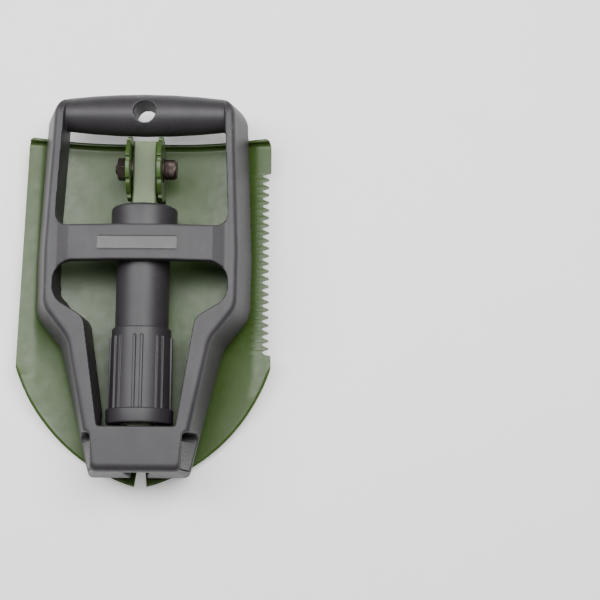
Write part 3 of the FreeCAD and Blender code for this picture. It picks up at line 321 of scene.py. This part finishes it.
def grid_faces(rows, columns, close_rows=False, close_columns=False, start=0):
    """Quads between neighbouring points of a grid that is stored row by row."""
    faces = []
    for i in range(rows if close_rows else rows - 1):
        for j in range(columns if close_columns else columns - 1):
            a, b = (i + 1) % rows, (j + 1) % columns
            faces.append((start + i * columns + j, start + i * columns + b,
                          start + a * columns + b, start + a * columns + j))
    return faces


def spin(name, node, profile, centre, axis="Y", segments=128, closed=True, shape=None):
    """Turns a profile of (radius, along) about an axis. shape(radius, along, turn) changes the
    radius. A closed profile gives a ring, and an open one starts and ends on the axis."""
    turns = np.arange(segments) * 2 * math.pi / segments
    points = []
    for radius, along in profile:
        for turn in turns:
            size = shape(radius, along, turn) if shape else radius
            u, v = size * math.cos(turn), size * math.sin(turn)
            place = {"Y": (u, along, v), "X": (along, u, v)}[axis]
            points.append([c + p for c, p in zip(centre, place)])
    faces = grid_faces(len(profile), segments, closed, True)
    if axis == "X":
        faces = [f[::-1] for f in faces]
    return add_piece(name, points, faces, node)


def face_outwards(item):
    """Makes the piece's normals point outwards."""
    work = bmesh.new()
    work.from_mesh(item.data)
    bmesh.ops.remove_doubles(work, verts=work.verts, dist=1e-6)
    bmesh.ops.dissolve_degenerate(work, edges=work.edges, dist=1e-7)
    bmesh.ops.recalc_face_normals(work, faces=work.faces)
    work.to_mesh(item.data)
    work.free()
    return item


# ---------------------------------------------------------------- the blade

SHAFT = (0.0, 0.0, middle("stem")[2])
BOLT_Y = middle("pivot_nut")[1]
STEM_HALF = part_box("stem")[1][0]

BLADE = {
    "gauge": 2.0 * MM, "floor_half": 20.0 * MM, "wing_start": 71.0 * MM, "depth": 10.5 * MM,
    "wing_rise": 0.12, "tip_lift": 11.0 * MM, "lift_start": -70.0 * MM, "saw_top": 80.2 * MM,
    "plain_top": 77.9 * MM, "half_wide": 81.0 * MM, "top": 100.2 * MM, "top_sag": 1.0 * MM,
    "corner": 5.0 * MM, "shoulder": -50.5 * MM, "tip": -125.4 * MM, "lip": 4.6 * MM,
    "bend": 2.6 * MM, "tooth_first": 79.3 * MM, "tooth_last": -42.0 * MM, "teeth": 24,
    "tooth_depth": 5.3 * MM, "tooth_recess": 1.3 * MM, "slot_half": 2.9 * MM,
    "slot_flare": 4.0 * MM, "slot_end": -106.0 * MM, "bevel": 1.7 * MM, "edge": 0.5 * MM,
    "belly_across": 0.628, "belly_along": 0.363,
}


def smooth_step(value, low, high):
    """0 up to low, 1 from high on, and a smooth rise between."""
    share = min(1.0, max(0.0, (value - low) / (high - low)))
    return share * share * (3 - 2 * share)


def floor_height(x):
    """Height of the blade's underside above the ground, away from the tip."""
    b = BLADE
    if abs(x) > b["wing_start"]:
        return b["depth"] + (abs(x) - b["wing_start"]) * b["wing_rise"]
    share = max(0.0, (abs(x) - b["floor_half"]) / (b["wing_start"] - b["floor_half"]))
    return b["depth"] * share ** 2


def tip_rise(y):
    """How far the blade curves up towards its tip."""
    b = BLADE
    run = max(0.0, (b["lift_start"] - y) / (b["lift_start"] - b["tip"] + 4 * MM))
    return b["tip_lift"] * run * run


def half_width(y, side):
    """Half the blade's width without its teeth: a straight side, then one arc to the tip."""
    b = BLADE
    if y >= b["shoulder"]:
        half_top = b["saw_top"] if side > 0 else b["plain_top"]
        above = min(y - b["top"] + b["corner"], b["corner"])
        if above > 0:
            return half_top - b["corner"] + math.sqrt(b["corner"] ** 2 - above ** 2)
        share = (y - b["shoulder"]) / (b["top"] - b["corner"] - b["shoulder"])
        return b["half_wide"] + (half_top - b["half_wide"]) * share
    first = np.array([b["half_wide"], b["shoulder"]])
    belly = np.array([b["half_wide"] * b["belly_across"],
                      b["tip"] + (b["shoulder"] - b["tip"]) * b["belly_along"]])
    last = np.array([b["slot_flare"], b["tip"]])
    rows = np.array([belly - first, last - first])
    squares = np.array([belly @ belly - first @ first, last @ last - first @ first]) / 2
    centre = np.linalg.solve(rows, squares)
    radius = np.linalg.norm(first - centre)
    return float(centre[0] + math.sqrt(max(0.0, radius ** 2 - (y - centre[1]) ** 2)))


def tooth_cut(y):
    """How far the saw edge lies inside the plain edge: round gullets between leaning teeth."""
    b = BLADE
    pitch = (b["tooth_first"] - b["tooth_last"]) / b["teeth"]
    phase = (y - b["tooth_last"]) / pitch - 0.5
    deep, tip = b["tooth_depth"], b["tooth_recess"]
    if phase <= 0:
        return deep * math.sqrt(max(0.0, 1 - (phase / 0.48) ** 2))
    if phase >= b["teeth"] - 1:
        return deep * (1 - smooth_step(phase - b["teeth"] + 1, 0.04, 0.3))
    tooth = smooth_step(phase % 1, 0.04, 0.34) - smooth_step(phase % 1, 0.40, 0.88)
    return deep - (deep - tip) * tooth


def blade_rows():
    """Places along the blade: even ones, with close ones through each tooth."""
    b = BLADE
    rows = list(np.linspace(b["tip"], b["tip"] + 6 * MM, 14)[:-1])
    rows += list(np.linspace(b["tip"] + 6 * MM, b["slot_end"] - b["slot_half"], 14)[:-1])
    root_steps = np.linspace(-math.pi / 2, math.pi / 2, 13)
    rows += [b["slot_end"] + b["slot_half"] * math.sin(t) for t in root_steps]
    rows += list(np.linspace(b["slot_end"] + b["slot_half"], b["tooth_last"], 46)[1:-1])
    rows += list(np.linspace(b["tooth_last"], b["tooth_first"], b["teeth"] * 20 + 1))
    rows += list(np.linspace(b["tooth_first"], b["top"] - 10 * MM, 5)[1:])
    return np.array(rows)


def slot_half_width(y):
    """Half the nail slot's width, and 0 above its round end."""
    b = BLADE
    above = y - b["slot_end"]
    if above > 0:
        return math.sqrt(max(0.0, b["slot_half"] ** 2 - above ** 2))
    flare = min(1.0, max(0.0, (b["slot_end"] - 10 * MM - y) / (b["slot_end"] - 10 * MM - b["tip"])))
    return b["slot_half"] + (b["slot_flare"] - b["slot_half"]) * flare


def blade_columns(y, side):
    """Places across one half of the blade at a row, with each one's share of the full gauge."""
    b = BLADE
    inner = slot_half_width(y)
    outer = max(inner, half_width(y, side) - (tooth_cut(y) if side > 0 else 0.0))
    slope = (half_width(y + 0.5 * MM, side) - half_width(y - 0.5 * MM, side)) / MM
    stretch = math.sqrt(1 + min(slope * slope, 9.0))
    ground = min(1.0, max(0.0, (b["shoulder"] + 6 * MM - y) / (14 * MM)))
    bevel = min(b["bevel"] * stretch, (outer - inner) * 0.6)
    limit = min(72 * MM, inner + (outer - inner) * 0.9, outer - bevel * 1.05)
    places = [inner + (limit - inner) * s for s in (0, 0.006, *np.linspace(0.03, 1, 34))]
    places += [outer - bevel * s for s in (1.0, 0.75, 0.5, 0.25, 0.06, 0.0)]
    places = np.maximum.accumulate(np.minimum(places, outer))
    away = np.clip((outer - places) / max(bevel, 1e-6), 0, 1)
    thin = b["edge"] / b["gauge"]
    return places, 1 - ground * (1 - (thin + (1 - thin) * away))


def lip_path(x):
    """The bend and tread lip at a place across: inner and outer points (along, up)."""
    b = BLADE
    top = b["top"] - b["top_sag"] * (1 - (x / b["half_wide"]) ** 2)
    ground = floor_height(x)
    start, level = top - b["gauge"] - b["bend"], ground + b["gauge"] + b["bend"]
    path = []
    for turn in np.linspace(0, math.pi / 2, 9):
        s, c = math.sin(turn), math.cos(turn)
        path.append(((start + b["bend"] * s, level - b["bend"] * c),
                     (start + (b["bend"] + b["gauge"]) * s, level - (b["bend"] + b["gauge"]) * c)))
    high = ground + b["gauge"] + b["lip"]
    soft = 0.5 * MM
    for rise, inset in ((high - 2 * soft, 0.0), (high - soft, 0.0), (high - 0.3 * soft, 0.3 * soft),
                        (high, soft)):
        path.append(((top - b["gauge"] + inset, rise), (top - inset, rise)))
    return start, path


def make_blade():
    """The pressed sheet: its dish, curved-up tip, ground edge, saw teeth, slot and tread lip."""
    b = BLADE
    shell = []
    rows = blade_rows()
    for side in (-1, 1):
        upper, lower = [], []
        for y in rows:
            places, thick = blade_columns(y, side)
            upper.append([(side * x, y, floor_height(x) + tip_rise(y) + b["gauge"] * t)
                          for x, t in zip(places, thick)])
            lower.append([(side * x, y, floor_height(x) + tip_rise(y)) for x in places])
        last, reach = rows[-1], [abs(p[0]) for p in upper[-1]]
        lips = [lip_path(x) for x in reach]
        for share in (0.34, 0.67):
            flat = [(side * x, last + (start - last) * share, floor_height(x))
                    for x, (start, _) in zip(reach, lips)]
            lower.append(flat)
            upper.append([(x, y, z + b["gauge"]) for x, y, z in flat])
        for k in range(len(lips[0][1])):
            for face, into in ((0, upper), (1, lower)):
                row = []
                for x, (_, path) in zip(reach, lips):
                    y, z = path[k][face]
                    row.append((side * min(x, half_width(y, side)), y, z))
                into.append(row)
        shell.append((upper, lower))
    points, faces = [], []
    for upper, lower in shell:
        count, width = len(upper), len(upper[0])
        start = len(points)
        points += [p for row in upper for p in row] + [p for row in lower for p in row]
        low = start + count * width
        faces += grid_faces(count, width, start=start)
        faces += [f[::-1] for f in grid_faces(count, width, start=low)]
        outer = [width - 1 + i * width for i in range(count)]
        top_row = [(count - 1) * width + j for j in range(width)]
        inner = [i * width for i in range(count) if upper[i][0][0] or i == 0]
        for line in (outer, top_row, inner):
            for a, c in zip(line, line[1:]):
                faces.append((start + a, start + c, low + c, low + a))
    blade = add_piece("shovel_blade", points, faces, "blade")
    return face_outwards(blade)


make_blade()


# ---------------------------------------------------------------- the hinge

EAR = {"radius": 20.8 * MM, "notch_floor": 17.2 * MM, "notch_half": 1.5 * MM,
       "notch_offset": 7.0 * MM, "lift_angle": 14.0, "gauge": 2.6 * MM, "gap_half": 8.6 * MM,
       "front": 60.0 * MM - BOLT_Y, "back": 88.0 * MM - BOLT_Y}


def ear_outline():
    """The outline of an ear about the bolt: a notched disc that runs down into the bracket."""
    base_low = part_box("hinge_bracket")[0][2] - SHAFT[2]
    front, back, radius = EAR["front"], EAR["back"], EAR["radius"]
    marks = []
    for direction in (EAR["lift_angle"], 90 + EAR["lift_angle"], 180):
        turn = math.radians(direction)
        c, s = math.cos(turn), math.sin(turn)
        for offset in (-EAR["notch_offset"], EAR["notch_offset"]):
            near, far = offset - EAR["notch_half"], offset + EAR["notch_half"]
            soft = 0.5 * MM
            corners = [(math.sqrt(radius ** 2 - near ** 2), near, soft),
                       (EAR["notch_floor"], near, soft), (EAR["notch_floor"], far, soft),
                       (math.sqrt(radius ** 2 - far ** 2), far, soft)]
            turned = [(a * c - b * s, a * s + b * c, r) for a, b, r in corners]
            marks.append((turn + math.asin(offset / radius), turned))
    marks.sort()
    start = -math.acos(back / radius)
    end = math.pi + math.asin(math.sqrt(radius ** 2 - front ** 2) / radius)
    outline = [(front, base_low, MM), (back, base_low, MM)]
    here = start
    for i, (_, corners) in enumerate(marks + [(end, [])]):
        first = math.atan2(corners[0][1], corners[0][0]) if corners else end
        first = first if first > here - 1e-9 or not corners else first + 2 * math.pi
        steps = max(2, round((first - here) / 0.09))
        first_step = 1 if i else 0  # a notch's last corner already stands at step 0
        for k in range(first_step, steps if corners else steps + 1):
            angle = here + (first - here) * k / steps
            outline.append((radius * math.cos(angle), radius * math.sin(angle)))
        outline += corners
        if corners:
            here = math.atan2(corners[-1][1], corners[-1][0])
            here = here if here > first - 1e-9 else here + 2 * math.pi
    return rounded(outline, 3)


def slab(name, node, outline, near, far, bevel=0.35 * MM):
    """A plate with an outline in (along, up) about the bolt, from near to far across."""
    count = len(outline)
    points = [(x, BOLT_Y + a, SHAFT[2] + b) for x in (near, far) for a, b in outline]
    faces = [tuple(range(count))[::-1], tuple(range(count, 2 * count))]
    faces += [(i, (i + 1) % count, count + (i + 1) % count, count + i) for i in range(count)]
    item = add_piece(name, points, faces, node)
    soften(face_outwards(item), bevel)
    return item


def soften(item, width, angle=40.0, segments=3):
    """Rounds the piece's sharp edges."""
    bevel = item.modifiers.new("soft_edges", "BEVEL")
    bevel.width = width
    bevel.segments = segments
    bevel.limit_method = "ANGLE"
    bevel.angle_limit = math.radians(angle)
    bevel.use_clamp_overlap = True
    bevel.harden_normals = True
    return item


def make_bracket():
    """The two ears and the bracket's floor, which is riveted to the blade."""
    base_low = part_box("hinge_bracket")[0][2] - SHAFT[2]
    for side, name in ((-1, "left"), (1, "right")):
        near = side * EAR["gap_half"]
        slab(f"bracket_ear_{name}", "hinge_bracket", ear_outline(), near, near + side * EAR["gauge"])
    front, back, base_high = EAR["front"], EAR["back"], base_low + EAR["gauge"]
    floor = [(front, base_low), (back, base_low), (back, base_high), (front, base_high)]
    half = EAR["gap_half"] + 0.1 * MM
    slab("bracket_floor", "hinge_bracket", floor, -half, half, 0.2 * MM)


def hexagon(flats):
    """A function that gives a hexagon's reach at a turn."""
    def reach(turn):
        away = (turn + math.pi / 6) % (math.pi / 3) - math.pi / 6
        return flats / 2 / math.cos(away)
    return reach


def threaded(radius, pitch=1.25 * MM, depth=0.35 * MM):
    """A function that gives a screw thread's reach at a place along it and a turn."""
    def reach(along, turn):
        phase = (along / pitch - turn / (2 * math.pi)) % 1
        return radius - depth * abs(2 * phase - 1)
    return reach


def make_screw():
    """The socket cap screw: knurled head with a hex socket, shank and threaded end."""
    low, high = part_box("pivot_bolt")
    head_start = high[0] - 8 * MM
    socket, head = hexagon(6 * MM), (high[1] - low[1]) / 2
    thread = threaded(4 * MM)
    thread_start = -9 * MM
    shoulder = 0.6 * MM

    def shape(radius, along, turn):
        if radius == "socket":
            return socket(turn)
        if radius == "mouth":
            return socket(turn) + 0.25 * MM
        if radius == "knurl":
            wave = abs((turn * 60 / (2 * math.pi)) % 1 - 0.5) * 2
            return head - 0.22 * MM * wave
        if radius == "thread":
            return thread(along, turn)
        return radius

    profile = [(0.0, low[0]), (2.9 * MM, low[0]), (3.2 * MM, low[0] + 0.4 * MM)]
    profile += [("thread", x) for x in np.arange(low[0] + 0.9 * MM, thread_start, 0.18 * MM)]
    profile += [(4 * MM, thread_start), (4 * MM, head_start), (head - shoulder, head_start),
                (head - 0.25 * MM, head_start + 0.25 * MM), ("knurl", head_start + 0.7 * MM),
                ("knurl", high[0] - 1.6 * MM), (head - 0.2 * MM, high[0] - 1.3 * MM),
                (head - 0.3 * MM, high[0] - 0.9 * MM), (head - 0.9 * MM, high[0]),
                ("mouth", high[0]), ("socket", high[0] - 0.3 * MM), ("socket", high[0] - 4 * MM),
                (0.0, high[0] - 4.6 * MM)]
    centre = (0.0, BOLT_Y, SHAFT[2])
    screw = spin("pivot_screw", "pivot_bolt", profile, centre, "X", 360, False, shape)
    return face_outwards(screw)


def make_nut():
    """The hex nut, with both faces chamfered, on the screw's thread."""
    low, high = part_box("pivot_nut")
    flats = hexagon(high[1] - low[1])
    corner = (high[1] - low[1]) / 2 / math.cos(math.pi / 6)

    def shape(radius, along, turn):
        if radius != "flats":
            return radius
        away = min(along - low[0], high[0] - along)
        cone = corner - 0.75 * MM + away * 1.7
        return min(flats(turn), cone)

    heights = [0, 0.15, 0.3, 0.5, 0.8, 1.2]
    rows = [("flats", low[0] + h * MM) for h in heights]
    rows += [("flats", high[0] - h * MM) for h in reversed(heights)]
    bore = 4.0 * MM
    profile = [(bore + 0.6 * MM, low[0])] + rows + [(bore + 0.6 * MM, high[0]),
                                                   (bore, high[0] - 0.6 * MM),
                                                   (bore, low[0] + 0.6 * MM)]
    centre = (0.0, BOLT_Y, SHAFT[2])
    return face_outwards(spin("pivot_hex_nut", "pivot_nut", profile, centre, "X", 180, True, shape))


def make_disc(name, node, inner, outer, low, high, soft=0.15 * MM):
    """A washer round the bolt."""
    profile = rounded([(inner, low, soft), (outer, low, soft), (outer, high, soft),
                       (inner, high, soft)], 3)
    centre = (0.0, BOLT_Y, SHAFT[2])
    return face_outwards(spin(name, node, profile, centre, "X", 96))


def make_hinge():
    """Everything that the stem turns on."""
    make_bracket()
    make_screw()
    make_nut()
    low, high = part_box("pivot_washer")
    make_disc("pivot_flat_washer", "pivot_washer", 4.2 * MM, 8 * MM, low[0], high[0])
    for side, name in ((-1, "left"), (1, "right")):
        near, far = sorted((side * EAR["gap_half"], side * (STEM_HALF + 0.05 * MM)))
        make_disc(f"pivot_spacer_{name}", "pivot_spacers", 4.2 * MM, 8 * MM, near, far)


make_hinge()


# ---------------------------------------------------------------- the sleeve and twist grip


def make_sleeve():
    """The lock sleeve: a thick collar with a mouth, a tube, and the screw part in the grip."""
    low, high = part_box("locking_sleeve")
    face, length, mouth = high[1], 16 * MM, 8 * MM
    collar, tube, bore = 21 * MM, 16.8 * MM, 10.4 * MM
    screw, step, seat = 13.5 * MM, -42 * MM, 16.6 * MM
    profile = rounded([
        (bore, low[1], 0.4 * MM), (screw, low[1], 0.4 * MM), (screw, step),
        (tube, step, 0.4 * MM), (tube, face - length, 0.8 * MM),
        (collar, face - length, 1.2 * MM), (collar, face, 2.2 * MM), (seat, face, 1.0 * MM),
        (seat, face - mouth), (bore, face - mouth)], 7)
    return face_outwards(spin("lock_sleeve", "locking_sleeve", profile, SHAFT, segments=160))


def make_insert():
    """The steel lock disc in the collar's mouth, with its square hole and four prongs."""
    low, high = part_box("lock_insert")
    radius, hole = 16.6 * MM, STEM_HALF + 0.1 * MM
    disc_top = low[1] + 4.5 * MM

    def shape(size, along, turn):
        if size != "square":
            return size
        away = (turn + math.pi / 4) % (math.pi / 2) - math.pi / 4
        return hole / math.cos(away)

    soft = 0.3 * MM
    profile = [("square", low[1]), (radius - soft, low[1]), (radius, low[1] + soft),
               (radius, disc_top - soft), (radius - soft, disc_top), ("square", disc_top)]
    disc = spin("lock_disc", "lock_insert", profile, SHAFT, segments=160, shape=shape)
    face_outwards(disc)
    middle_ear = EAR["gap_half"] + EAR["gauge"] / 2
    for i, (across, up) in enumerate(((-1, -1), (-1, 1), (1, -1), (1, 1))):
        x, z = middle_ear * across, SHAFT[2] + EAR["notch_offset"] * up
        wide, tall = 1.2 * MM, 1.1 * MM
        outline = rounded([(-wide, -tall, 0.5 * MM), (wide, -tall, 0.5 * MM),
                           (wide, tall, 0.5 * MM), (-wide, tall, 0.5 * MM)], 4)
        rows = [(disc_top - 0.2 * MM, 1.0), (high[1] - 0.5 * MM, 1.0), (high[1], 0.75)]
        points = [(x + a * s, y, z + b * s) for y, s in rows for a, b in outline]
        count = len(outline)
        faces = grid_faces(len(rows), count, close_columns=True)
        faces += [tuple(range(count)), tuple(range(2 * count, 3 * count))]
        face_outwards(add_piece(f"lock_prong_{i}", points, faces, "lock_insert"))


def make_grip():
    """The twist grip: a slightly tapered sleeve with eight pairs of slim raised ribs."""
    low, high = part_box("twist_grip")
    top, foot = high[1], low[1]
    top_radius, foot_radius, rib_top = 18.6 * MM, 19.0 * MM, -33.2 * MM
    rib_half, rib_side, rib_height = 0.85 * MM, math.radians(6.6), 19.9 * MM

    def shape(radius, along, turn):
        if radius != "skin":
            return radius
        share = (along - foot) / (top - foot)
        skin = foot_radius + (top_radius - foot_radius) * share
        from_pair = (turn + math.pi / 8) % (math.pi / 4) - math.pi / 8
        away = abs(abs(from_pair) - rib_side) * skin
        ridge = smooth_step(rib_half + 0.15 * MM - away, 0.0, 0.4 * MM)
        end = smooth_step(rib_top - along, 0.0, 0.7 * MM)
        crest = math.sqrt(max(0.0, 1 - (away / (rib_half * 1.6)) ** 2)) if away < rib_half else 0.8
        return skin + (rib_height - skin) * ridge * end * (0.75 + 0.25 * crest)

    mouth, bore, step = 17.05 * MM, 13.75 * MM, -44 * MM
    soft = 0.9 * MM
    profile = [(mouth, step), (mouth, top - 0.3 * MM), (mouth + 0.3 * MM, top)]
    for turn in np.linspace(0, math.pi / 2, 6):
        profile.append((top_radius - soft + soft * math.sin(turn), top - soft + soft * math.cos(turn)))
    skin_rows = list(np.linspace(top - 1.4 * MM, rib_top + 0.2 * MM, 5))
    skin_rows += list(np.linspace(rib_top, rib_top - 1.0 * MM, 8))
    skin_rows += list(np.linspace(rib_top - 2 * MM, foot, 12))
    profile += [("skin", y) for y in skin_rows]
    profile += [(bore, foot), (bore, step)]
    grip = spin("ribbed_grip", "twist_grip", profile, SHAFT, segments=960, shape=shape)
    return face_outwards(grip)


def make_end_ring():
    """The smooth ring that closes the grip's lower end."""
    low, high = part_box("grip_end_ring")
    radius = high[0]
    bore, well, seat = 10.4 * MM, 12.3 * MM, low[1] + 2.3 * MM
    profile = rounded([
        (well, low[1], 0.4 * MM), (radius - 0.4 * MM, low[1], 1.2 * MM), (radius, high[1], 1.0 * MM),
        (bore, high[1]), (bore, seat), (well, seat)], 6)
    return face_outwards(spin("grip_collar", "grip_end_ring", profile, SHAFT, segments=160))


make_sleeve()
make_insert()
make_grip()
make_end_ring()


# ---------------------------------------------------------------- the handle


def moulded_copy(name, node, voxel, rounds):
    """A finely remeshed copy of a CAD node whose edges are softened as a mould's are."""
    source = frame["nodes"][node]
    item = bpy.data.objects.new(name, source.data.copy())
    bpy.context.scene.collection.objects.link(item)
    remesh = item.modifiers.new("remesh", "REMESH")
    remesh.mode = "VOXEL"
    remesh.voxel_size = voxel
    remesh.adaptivity = 0.0
    smooth = item.modifiers.new("smooth", "SMOOTH")
    smooth.factor = 0.5
    smooth.iterations = rounds
    shown = item.evaluated_get(bpy.context.evaluated_depsgraph_get())
    item.data = bpy.data.meshes.new_from_object(shown)
    item.modifiers.clear()
    return dress(item, node, 180.0)


moulded_copy("moulded_handle", "handle_frame", 0.6 * MM, 6)
for tab in ("release_tab_left", "release_tab_right"):
    moulded_copy(f"{tab}_pad", tab, 0.3 * MM, 3)


def make_tab_spring(side):
    """The coil spring behind a release tab."""
    node, joint_name = f"tab_spring_{side}", f"tab_{side}_press"
    low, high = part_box(node)
    wire, turns, per_turn, around = 0.4 * MM, 3, 40, 14
    coil = (high[2] - low[2]) / 2 - wire
    across, up = (low[1] + high[1]) / 2, (low[2] + high[2]) / 2
    run = high[0] - low[0] - 2 * wire
    points = []
    for i in range(turns * per_turn + 1):
        turn = 2 * math.pi * i / per_turn
        x = low[0] + wire + run * i / (turns * per_turn)
        for k in range(around):
            tilt = 2 * math.pi * k / around
            reach = coil + wire * math.cos(tilt)
            points.append((x + wire * math.sin(tilt), across + reach * math.cos(turn),
                           up + reach * math.sin(turn)))
    rows = turns * per_turn + 1
    faces = grid_faces(rows, around, close_columns=True)
    faces += [tuple(range(around)), tuple(range((rows - 1) * around, rows * around))]
    spring = face_outwards(add_piece(f"coil_spring_{side}", points, faces, node))
    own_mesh(spring)


for side in ("left", "right"):
    make_tab_spring(side)


# ---------------------------------------------------------------- carried-over CAD nodes


def carry(node):
    """A CAD node that keeps its own shape and gets its material."""
    item = frame["nodes"][node]
    item.data.materials.clear()
    item.data.materials.append(MATERIALS[SLOT_OF[node]])


for node in ("stem", "handle_pin", "grip_retainer", "bracket_rivets", "label_plate"):
    carry(node)


# ---------------------------------------------------------------- floor, light and camera


def make_floor():
    """A plain pale floor."""
    size = 3.0
    mesh = bpy.data.meshes.new("floor")
    corners = [(-size, -size, 0), (size, -size, 0), (size, size, 0), (-size, size, 0)]
    mesh.from_pydata(corners, [], [(0, 1, 2, 3)])
    floor = bpy.data.objects.new("floor", mesh)
    bpy.context.scene.collection.objects.link(floor)
    n = Nodes("pale_floor")
    shade = n.mix(n.ramp(n.noise(0.05), 0.3, 0.7), (0.92, 0.92, 0.92), (0.94, 0.94, 0.94))
    n.finish(shade, 0.9, n.bump(n.noise(0.002), 0.05 * MM, 0.2),
             Emission_Color=(1, 1, 1, 1), Emission_Strength=0.3)
    mesh.materials.append(n.material)


def add_light(name, place, size, power):
    """A soft rectangular light that points at the middle of the object."""
    data = bpy.data.lights.new(name, "AREA")
    data.shape = "RECTANGLE"
    data.size, data.size_y = size
    data.energy = power
    light = bpy.data.objects.new(name, data)
    light.location = place
    light.rotation_euler = (-Vector(place)).to_track_quat("-Z", "Y").to_euler()
    bpy.context.scene.collection.objects.link(light)


def make_camera():
    """The photograph's viewpoint: nearly overhead, leaning a little towards the blade's tip."""
    target = Vector((99.5, -7.85, 25)) * MM
    lean, distance, roll = math.radians(10.5), 0.905, math.radians(0.4)
    data = bpy.data.cameras.new("camera")
    data.lens, data.sensor_width = 85.8, 36.0
    data.clip_start = 0.01
    camera = bpy.data.objects.new("camera", data)
    camera.location = target + distance * Vector((0, -math.sin(lean), math.cos(lean)))
    turn = Matrix.Rotation(lean, 4, "X") @ Matrix.Rotation(roll, 4, "Z")
    camera.rotation_euler = turn.to_euler()
    bpy.context.scene.collection.objects.link(camera)
    bpy.context.scene.camera = camera


def make_world(strength):
    """Even white surroundings, as in a light tent."""
    world = bpy.data.worlds.new("studio")
    world.use_nodes = True
    background = world.node_tree.nodes["Background"]
    background.inputs["Color"].default_value = (1, 1, 1, 1)
    background.inputs["Strength"].default_value = strength
    bpy.context.scene.world = world


make_floor()
make_world(0.12)
add_light("left", (-0.60, 0.25, 0.92), (0.45, 1.0), 13)
add_light("right", (0.35, 0.25, 1.05), (0.62, 1.0), 17.5)
make_camera()
